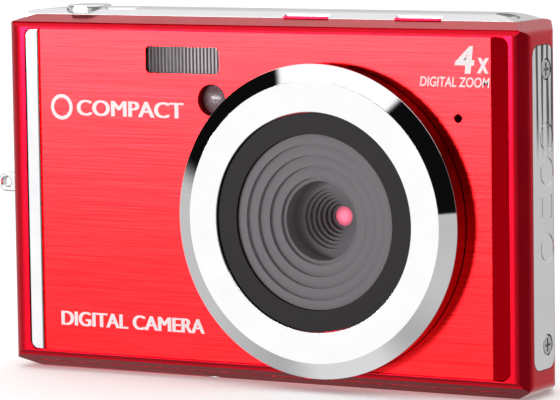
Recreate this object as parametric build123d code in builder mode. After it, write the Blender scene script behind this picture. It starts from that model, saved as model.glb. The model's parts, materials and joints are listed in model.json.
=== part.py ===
from build123d import *
import os
from math import asin, cos, radians, sin

# Compact digital camera, in millimetres.
# The origin is the mouth of the tripod socket, in the middle of the base.
# +Z is up, the lens looks along -Y, and +X is to the right of someone facing the lens.

os.makedirs("parts", exist_ok=True)

# ---------------------------------------------------------------- driving dimensions
BODY_WIDTH = 95.0
BODY_DEPTH = 17.6
SHELL_TOP = 58.75  # top of the painted casing
BAND_TOP = 59.85  # top of the silver band that stands above it
WALL = 1.3

LENS_X = 12.58
LENS_Z = 27.18
BEZEL_RADIUS = 24.94
BEZEL_PROUD = 4.39  # chrome face in front of the casing's front rim
CONE_RADIUS = 13.96  # mouth of the stepped baffle

CLEARANCE = 0.15  # running gap round every button and door
FIT_GAP = 0.1  # gap round trim let into the casing
PIN_GAP = 0.05  # radial play of a shaft in its hole
PRESS_GAP = 0.02  # radial play of a piece that is pressed or glued in
OVERLAP = 0.1  # by which features of one piece reach into each other
THROUGH = 3.0  # depth of a cut that passes right through a wall

HALF_WIDTH = BODY_WIDTH / 2
FRONT = -BODY_DEPTH / 2
REAR = BODY_DEPTH / 2
PARTING = 5.4  # joint between the front and the rear shell
BEZEL_FRONT = FRONT - BEZEL_PROUD

PLATE_FRONT = FRONT + 0.2
PLATE_FLOOR = FRONT + 0.9  # floor of the front recess
CAVITY_FRONT = FRONT + 2.1
CAVITY_HALF_WIDTH = 45.2
CAVITY_STEP = 3.0  # the hollow is narrower behind this depth, where the sides taper
CAVITY_REAR_HALF_WIDTH = 44.0
CAVITY_CORNER = 2.0
CAVITY_TOP = 56.9
BAND_FLOOR = 58.0
REAR_WALL_INSIDE = 7.4

SCREW_HEAD_RADIUS = 1.6
SCREW_HEAD_DEPTH = 0.7
SCREW_SHANK_RADIUS = 0.8
SCREW_LENGTH = 4.0


def at_depth(y):
    """Plane square to the lens axis at depth y. Extruding from it runs towards the front."""
    return Plane.XZ.offset(-y)


def at_side(x):
    """Plane square to X. Its own x runs to the rear and its own y runs up."""
    return Plane.YZ.offset(x)


def at_height(z):
    """Level plane at height z."""
    return Plane.XY.offset(z)


def middle(low, high):
    """Middle of a range."""
    return (low + high) / 2


def dome(half_width, edge, apex):
    """Arc of a domed face that revolves about x = 0, from its edge to its apex."""
    height = apex - edge
    radius = (half_width**2 + height**2) / (2 * height)
    half_angle = asin(half_width / abs(radius)) / 2
    on_the_way = (abs(radius) * sin(half_angle), apex - radius * (1 - cos(half_angle)))
    return ThreePointArc((half_width, edge), on_the_way, (0, apex))


LENS_PLANE = Plane(origin=(LENS_X, 0, LENS_Z), x_dir=(1, 0, 0), z_dir=(0, 0, 1))
LENS_AXIS = Axis((LENS_X, 0, LENS_Z), (0, 1, 0))

# ---------------------------------------------------------------- outer surface of the body
FRONT_ROUND_RIGHT = 2.05
FRONT_ROUND_LEFT = 3.2
FRONT_ROUND_DEPTH = 3.0
TAPER_START = 1.7  # the sides lean in towards the rear from here on
TAPER_END = 43.7  # half width that they would have at the rear face
TAPER_ROUND = 2.0
CREASE_DEPTH = 0.6  # the crease above the front rim lies this far behind it
CREASE_TOP = 57.7
CREASE_BOTTOM = 2.3
RIM_TOP = 56.85
RIM_BOTTOM = 3.1
RIM_SAGITTA = 0.1
BEVEL_DEPTH = 4.5
REAR_EDGE_ROUND = 3.5
CORNER_WIDTH = 3.4
CORNER_HEIGHT = 1.6
CORNER_SOFTENING = 1.2

with BuildSketch(Plane.XY) as outline_from_above:
    with BuildLine():
        side_start = FRONT + FRONT_ROUND_DEPTH
        rim_right = HALF_WIDTH - FRONT_ROUND_RIGHT
        rim_left = FRONT_ROUND_LEFT - HALF_WIDTH
        Line((rim_left, FRONT), (rim_right, FRONT))
        EllipticalCenterArc(
            (rim_right, side_start),
            FRONT_ROUND_RIGHT,
            FRONT_ROUND_DEPTH,
            start_angle=270,
            arc_size=90,
        )
        sides_and_rear = [
            (HALF_WIDTH, side_start),
            (HALF_WIDTH, TAPER_START),
            (TAPER_END, REAR),
            (-TAPER_END, REAR),
            (-HALF_WIDTH, TAPER_START),
            (-HALF_WIDTH, side_start),
        ]
        FilletPolyline(*sides_and_rear, radius=TAPER_ROUND)
        EllipticalCenterArc(
            (rim_left, side_start),
            FRONT_ROUND_LEFT,
            FRONT_ROUND_DEPTH,
            start_angle=180,
            arc_size=90,
        )
    make_face()

with BuildPart() as body_block:
    extrude(outline_from_above.sketch, amount=SHELL_TOP)
    # section from front to back
    with BuildSketch(Plane.YZ):
        with BuildLine():
            crease = FRONT + CREASE_DEPTH
            bevel_end = FRONT + BEVEL_DEPTH
            round_start = REAR - REAR_EDGE_ROUND
            round_top = SHELL_TOP - REAR_EDGE_ROUND
            Line((FRONT, RIM_TOP), (FRONT, RIM_BOTTOM))
            SagittaArc((FRONT, RIM_BOTTOM), (crease, CREASE_BOTTOM), RIM_SAGITTA)
            Line((crease, CREASE_BOTTOM), (bevel_end, 0))
            Line((bevel_end, 0), (round_start, 0))
            CenterArc((round_start, REAR_EDGE_ROUND), REAR_EDGE_ROUND, 270, 90)
            Line((REAR, REAR_EDGE_ROUND), (REAR, round_top))
            CenterArc((round_start, round_top), REAR_EDGE_ROUND, 0, 90)
            Line((round_start, SHELL_TOP), (bevel_end, SHELL_TOP))
            Line((bevel_end, SHELL_TOP), (crease, CREASE_TOP))
            SagittaArc((crease, CREASE_TOP), (FRONT, RIM_TOP), RIM_SAGITTA)
        make_face()
    extrude(amount=BODY_WIDTH, both=True, mode=Mode.INTERSECT)
    # outline seen from the front
    with BuildSketch(Plane.XZ):
        with BuildLine():
            flat_half = HALF_WIDTH - CORNER_WIDTH
            side_top = SHELL_TOP - CORNER_HEIGHT
            outline = [
                (flat_half, 0),
                (HALF_WIDTH, CORNER_HEIGHT),
                (HALF_WIDTH, side_top),
                (flat_half, SHELL_TOP),
                (-flat_half, SHELL_TOP),
                (-HALF_WIDTH, side_top),
                (-HALF_WIDTH, CORNER_HEIGHT),
                (-flat_half, 0),
            ]
            FilletPolyline(*outline, radius=CORNER_SOFTENING, close=True)
        make_face()
    extrude(amount=BODY_DEPTH, both=True, mode=Mode.INTERSECT)

# ---------------------------------------------------------------- places shared by several pieces
RECESS_LEFT = -43.55
RECESS_RIGHT = 44.85
RECESS_BOTTOM = 3.32
RECESS_TOP = 56.68
RECESS_CORNER = 1.5
RECESS_X = middle(RECESS_LEFT, RECESS_RIGHT)
RECESS_Z = middle(RECESS_BOTTOM, RECESS_TOP)
FACET_X = 41.75  # the face plate bends back beyond this line
FACET_DROP = 0.7
FACET_BACKING = 0.9
FACET_BACKING_LEFT = 41.2
FACET_BACKING_RIGHT = 45.4

BOSS_RADIUS = 24.75
BOSS_FRONT = BEZEL_FRONT + 1.42
BOSS_BORE = 14.95
BOSS_POCKET_INNER = 17.0
BOSS_POCKET_OUTER = 23.2
BOSS_POCKET_END = BOSS_FRONT + 1.4

FLASH_X = -13.45
FLASH_Z = 51.92
FLASH_WIDTH = 13.85
FLASH_HEIGHT = 4.42
FLASH_CORNER = 0.8

LAMP_X = -8.05
LAMP_Z = 45.62
LAMP_RADIUS = 2.62

MIC_X = 36.1
MIC_Z = 43.93
MIC_HOLE_RADIUS = 0.72

BAND_LEFT = -46.4
BAND_RIGHT = 43.9
BAND_FRONT = FRONT + 4.5
BAND_REAR = PARTING
TABS = [(2.95, 10.96), (22.96, 31.05)]
TAB_FRONT = BAND_FRONT - 0.1
TAB_REAR = BAND_FRONT + 0.9
TAB_TOP = 59.05

SHUTTER_X = -35.75
SHUTTER_Y = -0.8
SHUTTER_WIDTH = 6.7
SHUTTER_LENGTH = 6.4
SHUTTER_CORNER = 2.45
SHUTTER_TOP = 60.25
CAP_BOTTOM = 59.0
POWER_X = -28.4
POWER_WIDTH = 7.0
POWER_LENGTH = 3.6
POWER_CORNER = 1.05
POWER_TOP = 60.0
STEM_RADIUS = 1.2
STEM_BOTTOM = 56.05
STEM_FOOT_RADIUS = 2.0
STEM_FOOT_TOP = 56.7

SIDE_PLATE_FRONT = -5.75
SIDE_PLATE_REAR = 1.5
SIDE_PLATE_BOTTOM = 4.6
SIDE_PLATE_TOP = 55.1
SIDE_PLATE_CORNER = 2.0
SIDE_PLATE_INSIDE = 46.3
SIDE_PLATE_Y = middle(SIDE_PLATE_FRONT, SIDE_PLATE_REAR)
SIDE_PLATE_Z = middle(SIDE_PLATE_BOTTOM, SIDE_PLATE_TOP)
SIDE_SCREW_Y = -0.9
SIDE_SCREW_HEIGHTS = (8.3, 51.3)
SIDE_BOSS_INSIDE = 43.0
SIDE_HEAD_TOP = HALF_WIDTH - 0.05
SIDE_BOSS_SIZE = 4.0

TOP_SCREWS = [(-44.0, 59.0), (41.0, 59.3)]  # x, and height of the head's top
TOP_SCREW_Y = -0.8
BOTTOM_SCREWS = [14.0, 40.3]
BOTTOM_SCREW_Y = 2.6

LUG_Y = -1.6
LUG_Z = 30.3
LUG_HEIGHT = 3.2
LUG_THICKNESS = 1.6
LUG_TIP = -53.6
LUG_HOLE_RADIUS = 0.85

DOOR_RIGHT = -10.0
DOOR_FRONT = -4.45
DOOR_REAR = 4.35
DOOR_THICKNESS = 1.3
DOOR_END_TOP = 3.2
DOOR_END_INSIDE = -45.5
HINGE_RADIUS = 0.9
HINGE_X = DOOR_RIGHT - HINGE_RADIUS
HINGE_Z = HINGE_RADIUS
PIN_RADIUS = 0.45
DOOR_HEADROOM = 0.7  # between the shut door and the casing above it

SOCKET_RADIUS = 3.9
SOCKET_BORE = 3.175
SOCKET_DEPTH = 5.5
SOCKET_CAP = 0.8
SOCKET_FLANGE = 1.0
SOCKET_FLANGE_LIP = 0.6

USB_X = 25.0
USB_Y = 1.7
USB_WIDTH = 7.6
USB_THICKNESS = 2.6
USB_CORNER = 0.9

SPEAKER_X = 33.5
SPEAKER_Y = -1.9
SPEAKER_RADIUS = 4.5
SPEAKER_HOLE_RADIUS = 0.45
SPEAKER_HOLE_PITCH = 2.0
SPEAKER_LENGTH = 2.4
SPEAKER_RIM = 0.7
SPEAKER_DISH = 0.3

WINDOW_X = 13.2
WINDOW_Z = 29.5
WINDOW_WIDTH = 57.0
WINDOW_HEIGHT = 45.0
WINDOW_CORNER = 2.0
WINDOW_THICKNESS = 0.8
VIEW_WIDTH = 50.4
VIEW_HEIGHT = 38.4
VIEW_MARGIN = 1.0

ZOOM_X = -31.5
ZOOM_Z = 51.0
ZOOM_WIDTH = 16.6
ZOOM_HEIGHT = 4.6
ZOOM_CORNER = 1.9
ZOOM_HOLE_WIDTH = 17.4
ZOOM_HOLE_CORNER = 2.2
ZOOM_PIVOT_Y = 6.5
ZOOM_LUG_OFFSET = 2.9
ZOOM_LUG_WIDTH = 0.8
ZOOM_LUG_LENGTH = 2.4
ZOOM_LUG_REACH = 0.8  # beyond the pivot
ZOOM_PIN_RADIUS = 0.5

KEY_PROUD = 0.3
KEY_TRAVEL_GAP = 0.2  # between a key's flange and the rear wall
KEY_FLANGE = 0.6
SMALL_KEYS = {
    "mode_button": (-38.5, 43.2),
    "play_button": (-24.5, 43.2),
    "menu_button": (-38.5, 10.8),
    "delete_button": (-24.5, 10.8),
}
SMALL_KEY_WIDTH = 7.4
SMALL_KEY_HEIGHT = 3.8
SMALL_KEY_CORNER = 1.89
NAV_X = -31.5
NAV_Z = 27.0
NAV_OUTER = 10.4
NAV_INNER = 5.2
NAV_GAP = 0.9  # between neighbouring navigation keys
NAV_BRIDGE_END = 1.0  # by which each bridge reaches into the wall
OK_RADIUS = 4.2
NAV_KEYS = {"nav_right": 0, "nav_up": 90, "nav_left": 180, "nav_down": 270}

STATUS_X = -18.6
STATUS_Z = 54.6
STATUS_RADIUS = 0.8

POSTS = [(-6.0, 9.5), (28.5, 9.0), (-6.0, 38.5), (28.5, 46.0)]
POST_RADIUS = 1.9
POST_HOLE_RADIUS = 0.55
CHASSIS_FRONT = -0.5
CHASSIS_THICKNESS = 0.5

# ---------------------------------------------------------------- front shell
with BuildPart() as front_shell:
    add(body_block.part)
    split(bisect_by=at_depth(PARTING), keep=Keep.TOP)
    # hollow inside
    for half_width, rear in ((CAVITY_HALF_WIDTH, CAVITY_STEP), (CAVITY_REAR_HALF_WIDTH, PARTING)):
        with BuildSketch(at_depth(rear)):
            with Locations((0, middle(WALL, CAVITY_TOP))):
                RectangleRounded(2 * half_width, CAVITY_TOP - WALL, CAVITY_CORNER)
        extrude(amount=rear - CAVITY_FRONT, mode=Mode.SUBTRACT)
    # thicker wall behind the bent edge of the face plate
    with BuildSketch(at_depth(CAVITY_FRONT + FACET_BACKING)):
        with Locations((middle(FACET_BACKING_LEFT, FACET_BACKING_RIGHT), RECESS_Z)):
            Rectangle(FACET_BACKING_RIGHT - FACET_BACKING_LEFT, CAVITY_TOP - WALL)
    extrude(amount=FACET_BACKING + OVERLAP)
    # recess for the face plate and its trim strip
    with BuildSketch(at_depth(PLATE_FLOOR)):
        with Locations((RECESS_X, RECESS_Z)):
            RectangleRounded(RECESS_RIGHT - RECESS_LEFT, RECESS_TOP - RECESS_BOTTOM, RECESS_CORNER)
    extrude(amount=THROUGH, mode=Mode.SUBTRACT)
    with BuildSketch(at_depth(PLATE_FLOOR + FACET_DROP)):
        with Locations((middle(FACET_X, RECESS_RIGHT), RECESS_Z)):
            RectangleRounded(RECESS_RIGHT - FACET_X, RECESS_TOP - RECESS_BOTTOM, RECESS_CORNER)
        with Locations((middle(FACET_X, RECESS_RIGHT - RECESS_CORNER), RECESS_Z)):
            Rectangle(RECESS_RIGHT - RECESS_CORNER - FACET_X, RECESS_TOP - RECESS_BOTTOM)
    extrude(amount=THROUGH, mode=Mode.SUBTRACT)
    # lens boss, hollowed from behind
    with BuildSketch(at_depth(CAVITY_FRONT)):
        with Locations((LENS_X, LENS_Z)):
            Circle(BOSS_RADIUS)
    extrude(amount=CAVITY_FRONT - BOSS_FRONT)
    with BuildSketch(at_depth(CAVITY_FRONT)):
        with Locations((LENS_X, LENS_Z)):
            Circle(BOSS_POCKET_OUTER)
            Circle(BOSS_POCKET_INNER, mode=Mode.SUBTRACT)
    extrude(amount=CAVITY_FRONT - BOSS_POCKET_END, mode=Mode.SUBTRACT)
    with BuildSketch(at_depth(CAVITY_FRONT)):
        with Locations((LENS_X, LENS_Z)):
            Circle(BOSS_BORE)
    extrude(amount=CAVITY_FRONT - BOSS_FRONT, mode=Mode.SUBTRACT)
    # openings in the front wall
    with BuildSketch(at_depth(CAVITY_FRONT)):
        with Locations((FLASH_X, FLASH_Z)):
            RectangleRounded(FLASH_WIDTH, FLASH_HEIGHT, FLASH_CORNER)
        with Locations((LAMP_X, LAMP_Z)):
            Circle(LAMP_RADIUS)
        with Locations((MIC_X, MIC_Z)):
            Circle(MIC_HOLE_RADIUS)
    extrude(amount=THROUGH, mode=Mode.SUBTRACT)
    # seat of the top band, and the two tabs that lap over its front edge
    with BuildSketch(at_height(BAND_FLOOR)):
        with Locations((middle(BAND_LEFT, BAND_RIGHT), middle(BAND_FRONT, BAND_REAR))):
            Rectangle(BAND_RIGHT - BAND_LEFT, BAND_REAR - BAND_FRONT)
    extrude(amount=THROUGH, mode=Mode.SUBTRACT)
    with BuildSketch(at_height(BAND_FLOOR)):
        for left, right in TABS:
            with Locations((middle(left, right), middle(TAB_FRONT, TAB_REAR))):
                Rectangle(right - left, TAB_REAR - TAB_FRONT)
    extrude(amount=TAB_TOP - BAND_FLOOR)
    # guides for the stems of the top buttons
    with BuildSketch(at_height(CAVITY_TOP)):
        with Locations((SHUTTER_X, SHUTTER_Y), (POWER_X, SHUTTER_Y)):
            Circle(STEM_RADIUS + CLEARANCE)
    extrude(amount=THROUGH, mode=Mode.SUBTRACT)
    # seats of the side plates
    for side in (-1, 1):
        with BuildSketch(at_side(side * SIDE_PLATE_INSIDE)):
            with Locations((SIDE_PLATE_Y, SIDE_PLATE_Z)):
                seat_width = SIDE_PLATE_REAR - SIDE_PLATE_FRONT + 2 * FIT_GAP
                seat_height = SIDE_PLATE_TOP - SIDE_PLATE_BOTTOM + 2 * FIT_GAP
                RectangleRounded(seat_width, seat_height, SIDE_PLATE_CORNER)
        extrude(amount=side * THROUGH, mode=Mode.SUBTRACT)
    # blocks that take the side screws
    for side in (-1, 1):
        with BuildSketch(at_side(side * SIDE_BOSS_INSIDE)):
            for height in SIDE_SCREW_HEIGHTS:
                with Locations((SIDE_SCREW_Y, height)):
                    Rectangle(SIDE_BOSS_SIZE, SIDE_BOSS_SIZE)
        extrude(amount=side * (SIDE_PLATE_INSIDE - SIDE_BOSS_INSIDE))
        with BuildSketch(at_side(side * SIDE_BOSS_INSIDE)):
            for height in SIDE_SCREW_HEIGHTS:
                with Locations((SIDE_SCREW_Y, height)):
                    Circle(SCREW_SHANK_RADIUS)
        extrude(amount=side * SCREW_LENGTH, mode=Mode.SUBTRACT)
    # slot for the strap lug
    with BuildSketch(at_side(-CAVITY_HALF_WIDTH)):
        with Locations((LUG_Y, LUG_Z)):
            Rectangle(LUG_THICKNESS, LUG_HEIGHT)
    extrude(amount=-THROUGH, mode=Mode.SUBTRACT)
    # posts that carry the chassis
    with BuildSketch(at_depth(CHASSIS_FRONT)):
        with Locations(*POSTS):
            Circle(POST_RADIUS)
    extrude(amount=CHASSIS_FRONT - CAVITY_FRONT)
    with BuildSketch(at_depth(CHASSIS_FRONT)):
        with Locations(*POSTS):
            Circle(POST_HOLE_RADIUS)
    extrude(amount=SCREW_LENGTH, mode=Mode.SUBTRACT)
    # base: tripod socket, connector, sound holes, screws and battery door
    with BuildSketch(Plane.XY):
        Circle(SOCKET_RADIUS)
        with Locations((USB_X, USB_Y)):
            RectangleRounded(USB_WIDTH + 2 * CLEARANCE, USB_THICKNESS + 2 * CLEARANCE, USB_CORNER)
        with Locations((SPEAKER_X, SPEAKER_Y)):
            with GridLocations(SPEAKER_HOLE_PITCH, SPEAKER_HOLE_PITCH, 3, 2):
                Circle(SPEAKER_HOLE_RADIUS)
        with Locations(*[(x, BOTTOM_SCREW_Y) for x in BOTTOM_SCREWS]):
            Circle(SCREW_SHANK_RADIUS)
    extrude(amount=WALL, mode=Mode.SUBTRACT)
    with BuildSketch(Plane.XY):
        with Locations(*[(x, BOTTOM_SCREW_Y) for x in BOTTOM_SCREWS]):
            Circle(SCREW_HEAD_RADIUS)
    extrude(amount=SCREW_HEAD_DEPTH + FIT_GAP, mode=Mode.SUBTRACT)
    with BuildSketch(Plane.XY):
        with Locations((DOOR_RIGHT + CLEARANCE, middle(DOOR_FRONT, DOOR_REAR))):
            Rectangle(HALF_WIDTH, DOOR_REAR - DOOR_FRONT + 2 * CLEARANCE, align=(Align.MAX, Align.CENTER))
    extrude(amount=DOOR_THICKNESS + DOOR_HEADROOM, mode=Mode.SUBTRACT)
    with BuildSketch(at_side(-CAVITY_HALF_WIDTH)):
        with Locations((middle(DOOR_FRONT, DOOR_REAR), 0)):
            Rectangle(
                DOOR_REAR - DOOR_FRONT + 2 * CLEARANCE,
                2 * (DOOR_END_TOP + CLEARANCE),
            )
    extrude(amount=-THROUGH, mode=Mode.SUBTRACT)
    # holes of the top screws
    with BuildSketch(at_height(CAVITY_TOP - CAVITY_CORNER)):
        with Locations(*[(x, TOP_SCREW_Y) for x, top in TOP_SCREWS]):
            Circle(SCREW_SHANK_RADIUS)
    extrude(amount=SCREW_LENGTH, mode=Mode.SUBTRACT)
front_shell.part.label = "front_shell"
export_step(front_shell.part, "parts/front_shell.step")

# ---------------------------------------------------------------- rear shell
REAR_CAVITY_HALF_WIDTH = 43.1
REAR_CAVITY_BOTTOM = 3.0
REAR_CAVITY_TOP = 56.2
SCREW_TAB_FRONT = 1.0
SCREW_TAB_BOTTOM = WALL + 0.1
SCREW_TAB_TOP = 5.0
SCREW_TAB_WIDTH = 5.0

with BuildPart() as rear_shell:
    add(body_block.part)
    split(bisect_by=at_depth(PARTING), keep=Keep.BOTTOM)
    with BuildSketch(at_depth(REAR_WALL_INSIDE)):
        with Locations((0, middle(REAR_CAVITY_BOTTOM, REAR_CAVITY_TOP))):
            RectangleRounded(
                2 * REAR_CAVITY_HALF_WIDTH,
                REAR_CAVITY_TOP - REAR_CAVITY_BOTTOM,
                CAVITY_CORNER,
            )
    extrude(amount=REAR_WALL_INSIDE - PARTING, mode=Mode.SUBTRACT)
    # seat and opening of the display window
    with BuildSketch(at_depth(REAR)):
        with Locations((WINDOW_X, WINDOW_Z)):
            RectangleRounded(WINDOW_WIDTH + 2 * FIT_GAP, WINDOW_HEIGHT + 2 * FIT_GAP, WINDOW_CORNER)
    extrude(amount=WINDOW_THICKNESS, mode=Mode.SUBTRACT)
    with BuildSketch(at_depth(REAR)):
        with Locations((WINDOW_X, WINDOW_Z)):
            RectangleRounded(VIEW_WIDTH + 2 * VIEW_MARGIN, VIEW_HEIGHT + 2 * VIEW_MARGIN, VIEW_MARGIN)
    extrude(amount=REAR - REAR_WALL_INSIDE, mode=Mode.SUBTRACT)
    # openings of the keys, the rocker and the status light
    with BuildSketch(at_depth(REAR)):
        with Locations(*SMALL_KEYS.values()):
            RectangleRounded(
                SMALL_KEY_WIDTH + 2 * CLEARANCE,
                SMALL_KEY_HEIGHT + 2 * CLEARANCE,
                SMALL_KEY_HEIGHT / 2,
            )
        with Locations((NAV_X, NAV_Z)):
            Circle(NAV_OUTER + CLEARANCE)
            Circle(NAV_INNER - CLEARANCE, mode=Mode.SUBTRACT)
            Circle(OK_RADIUS + CLEARANCE)
        with Locations((ZOOM_X, ZOOM_Z)):
            RectangleRounded(ZOOM_HOLE_WIDTH, ZOOM_HEIGHT + 2 * CLEARANCE, ZOOM_HOLE_CORNER)
        with Locations((STATUS_X, STATUS_Z)):
            Circle(STATUS_RADIUS)
    extrude(amount=REAR - REAR_WALL_INSIDE, mode=Mode.SUBTRACT)
    # ring between the OK button and the navigation keys, held by four thin bridges
    with BuildSketch(at_depth(REAR)):
        with Locations((NAV_X, NAV_Z)):
            Circle(NAV_INNER - CLEARANCE)
            Circle(OK_RADIUS + CLEARANCE, mode=Mode.SUBTRACT)
            with PolarLocations(0, 4, start_angle=45):
                bridge_length = NAV_OUTER + NAV_BRIDGE_END - OK_RADIUS - 2 * CLEARANCE
                with Locations((OK_RADIUS + 2 * CLEARANCE + bridge_length / 2, 0)):
                    Rectangle(bridge_length, NAV_GAP - 2 * CLEARANCE)
    extrude(amount=REAR - REAR_WALL_INSIDE)
    # bearing lugs of the zoom rocker
    with BuildSketch(at_depth(REAR_WALL_INSIDE)):
        for side in (-1, 1):
            with Locations((ZOOM_X, ZOOM_Z + side * (ZOOM_LUG_OFFSET + ZOOM_LUG_WIDTH / 2))):
                Rectangle(ZOOM_LUG_LENGTH, ZOOM_LUG_WIDTH)
    extrude(amount=REAR_WALL_INSIDE - ZOOM_PIVOT_Y + ZOOM_LUG_REACH)
    with BuildSketch(at_height(ZOOM_Z - 2 * ZOOM_LUG_OFFSET)):
        with Locations((ZOOM_X, ZOOM_PIVOT_Y)):
            Circle(ZOOM_PIN_RADIUS)
    extrude(amount=4 * ZOOM_LUG_OFFSET, mode=Mode.SUBTRACT)
    # tabs that take the bottom screws
    with BuildSketch(at_height(SCREW_TAB_BOTTOM)):
        for x in BOTTOM_SCREWS:
            with Locations((x, middle(SCREW_TAB_FRONT, REAR_WALL_INSIDE))):
                Rectangle(SCREW_TAB_WIDTH, REAR_WALL_INSIDE - SCREW_TAB_FRONT)
    extrude(amount=SCREW_TAB_TOP - SCREW_TAB_BOTTOM)
    with BuildSketch(Plane.XY):
        with Locations(*[(x, BOTTOM_SCREW_Y) for x in BOTTOM_SCREWS]):
            Circle(SCREW_SHANK_RADIUS)
    extrude(amount=SCREW_HEAD_DEPTH + SCREW_LENGTH, mode=Mode.SUBTRACT)
rear_shell.part.label = "rear_shell"
export_step(rear_shell.part, "parts/rear_shell.step")

# ---------------------------------------------------------------- top band
BAND_EDGE = SHELL_TOP + 0.05
BAND_SHOULDER_FRONT = BAND_FRONT + 3.2
BAND_SHOULDER_REAR = BAND_REAR - 2.6
BAND_FRONT_SAGITTA = -0.3
BAND_REAR_SAGITTA = -0.28
BAND_END_RIGHT = (BAND_RIGHT, 58.7)
BAND_RISE_RIGHT = (38.0, 59.87)
BAND_RISE_LEFT = (-40.0, 59.8)
BAND_KNEE_LEFT = (-45.4, 59.35)
BAND_END_SAGITTA = -0.12
TOP_HEAD_GAP = 0.3

with BuildPart() as top_band:
    # section from front to back
    with BuildSketch(at_side(BAND_LEFT + FIT_GAP)):
        with BuildLine():
            Line((BAND_FRONT, BAND_FLOOR), (BAND_REAR, BAND_FLOOR))
            Line((BAND_REAR, BAND_FLOOR), (BAND_REAR, BAND_EDGE))
            SagittaArc((BAND_REAR, BAND_EDGE), (BAND_SHOULDER_REAR, BAND_TOP), BAND_REAR_SAGITTA)
            Line((BAND_SHOULDER_REAR, BAND_TOP), (BAND_SHOULDER_FRONT, BAND_TOP))
            SagittaArc((BAND_SHOULDER_FRONT, BAND_TOP), (BAND_FRONT, BAND_EDGE), BAND_FRONT_SAGITTA)
            Line((BAND_FRONT, BAND_EDGE), (BAND_FRONT, BAND_FLOOR))
        make_face()
    extrude(amount=BAND_RIGHT - BAND_LEFT - 2 * FIT_GAP)
    # its ends slope down to the casing
    with BuildSketch(at_depth(BAND_REAR)):
        with BuildLine():
            Line((BAND_LEFT, BAND_FLOOR), (BAND_RIGHT, BAND_FLOOR))
            Line((BAND_RIGHT, BAND_FLOOR), BAND_END_RIGHT)
            SagittaArc(BAND_END_RIGHT, BAND_RISE_RIGHT, BAND_FRONT_SAGITTA)
            Line(BAND_RISE_RIGHT, BAND_RISE_LEFT)
            Line(BAND_RISE_LEFT, BAND_KNEE_LEFT)
            SagittaArc(BAND_KNEE_LEFT, (BAND_LEFT, SHELL_TOP), BAND_END_SAGITTA)
            Line((BAND_LEFT, SHELL_TOP), (BAND_LEFT, BAND_FLOOR))
        make_face()
    extrude(amount=BAND_REAR - BAND_FRONT, mode=Mode.INTERSECT)
    extrude(outline_from_above.sketch, amount=2 * BAND_TOP, mode=Mode.INTERSECT)
    # notches for the casing's tabs
    with BuildSketch(at_height(BAND_FLOOR)):
        for left, right in TABS:
            with Locations((middle(left, right), middle(TAB_FRONT, TAB_REAR))):
                Rectangle(right - left, TAB_REAR - TAB_FRONT)
    extrude(amount=THROUGH, mode=Mode.SUBTRACT)
    # button openings and screw holes
    with BuildSketch(at_height(BAND_FLOOR)):
        with Locations((SHUTTER_X, SHUTTER_Y)):
            RectangleRounded(
                SHUTTER_WIDTH + 2 * CLEARANCE,
                SHUTTER_LENGTH + 2 * CLEARANCE,
                SHUTTER_CORNER + CLEARANCE,
            )
        with Locations((POWER_X, SHUTTER_Y)):
            RectangleRounded(
                POWER_WIDTH + 2 * CLEARANCE,
                POWER_LENGTH + 2 * CLEARANCE,
                POWER_CORNER + CLEARANCE,
            )
        with Locations(*[(x, TOP_SCREW_Y) for x, top in TOP_SCREWS]):
            Circle(SCREW_SHANK_RADIUS)
    extrude(amount=THROUGH, mode=Mode.SUBTRACT)
    for x, top in TOP_SCREWS:
        with BuildSketch(at_height(top - SCREW_HEAD_DEPTH)):
            with Locations((x, TOP_SCREW_Y)):
                Circle(SCREW_HEAD_RADIUS + TOP_HEAD_GAP)
        extrude(amount=THROUGH, mode=Mode.SUBTRACT)
top_band.part.label = "top_band"
export_step(top_band.part, "parts/top_band.step")

# ---------------------------------------------------------------- face plate and trim strip
TRIM_LEFT = -43.4
TRIM_RIGHT = -41.0
PLATE_LEFT = -40.6
PLATE_RIGHT = 44.7
PLATE_GAP = 0.12
PLATE_CORNER = 1.35
PLATE_EDGE_ROUND = 0.3
FACET_BACK = 0.55  # how far the bent edge drops at its end
TRIM_EDGE = 0.15

with BuildPart() as face_plate:
    # section seen from above
    with BuildSketch(at_height(RECESS_BOTTOM + PLATE_GAP)):
        with BuildLine():
            thickness = PLATE_FLOOR - PLATE_FRONT
            Polyline(
                (PLATE_LEFT, PLATE_FRONT),
                (FACET_X, PLATE_FRONT),
                (PLATE_RIGHT, PLATE_FRONT + FACET_BACK),
                (PLATE_RIGHT, PLATE_FRONT + FACET_BACK + thickness),
                (FACET_X, PLATE_FLOOR),
                (PLATE_LEFT, PLATE_FLOOR),
                close=True,
            )
        make_face()
    extrude(amount=RECESS_TOP - RECESS_BOTTOM - 2 * PLATE_GAP)
    corners = face_plate.edges().filter_by(Axis.Y).group_by(Axis.X)[0]
    fillet(corners, PLATE_EDGE_ROUND)
    # rounded right-hand corners
    with BuildSketch(at_depth(CAVITY_FRONT + FACET_BACKING)):
        with Locations((RECESS_X, RECESS_Z)):
            RectangleRounded(
                RECESS_RIGHT - RECESS_LEFT - 2 * PLATE_GAP,
                RECESS_TOP - RECESS_BOTTOM - 2 * PLATE_GAP,
                PLATE_CORNER,
            )
    extrude(amount=THROUGH, mode=Mode.INTERSECT)
    with BuildSketch(at_depth(CAVITY_FRONT)):
        with Locations((LENS_X, LENS_Z)):
            Circle(BOSS_RADIUS + PLATE_GAP)
        with Locations((FLASH_X, FLASH_Z)):
            RectangleRounded(FLASH_WIDTH, FLASH_HEIGHT, FLASH_CORNER)
        with Locations((LAMP_X, LAMP_Z)):
            Circle(LAMP_RADIUS)
        with Locations((MIC_X, MIC_Z)):
            Circle(MIC_HOLE_RADIUS)
    extrude(amount=THROUGH, mode=Mode.SUBTRACT)
face_plate.part.label = "face_plate"
export_step(face_plate.part, "parts/face_plate.step")

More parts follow.
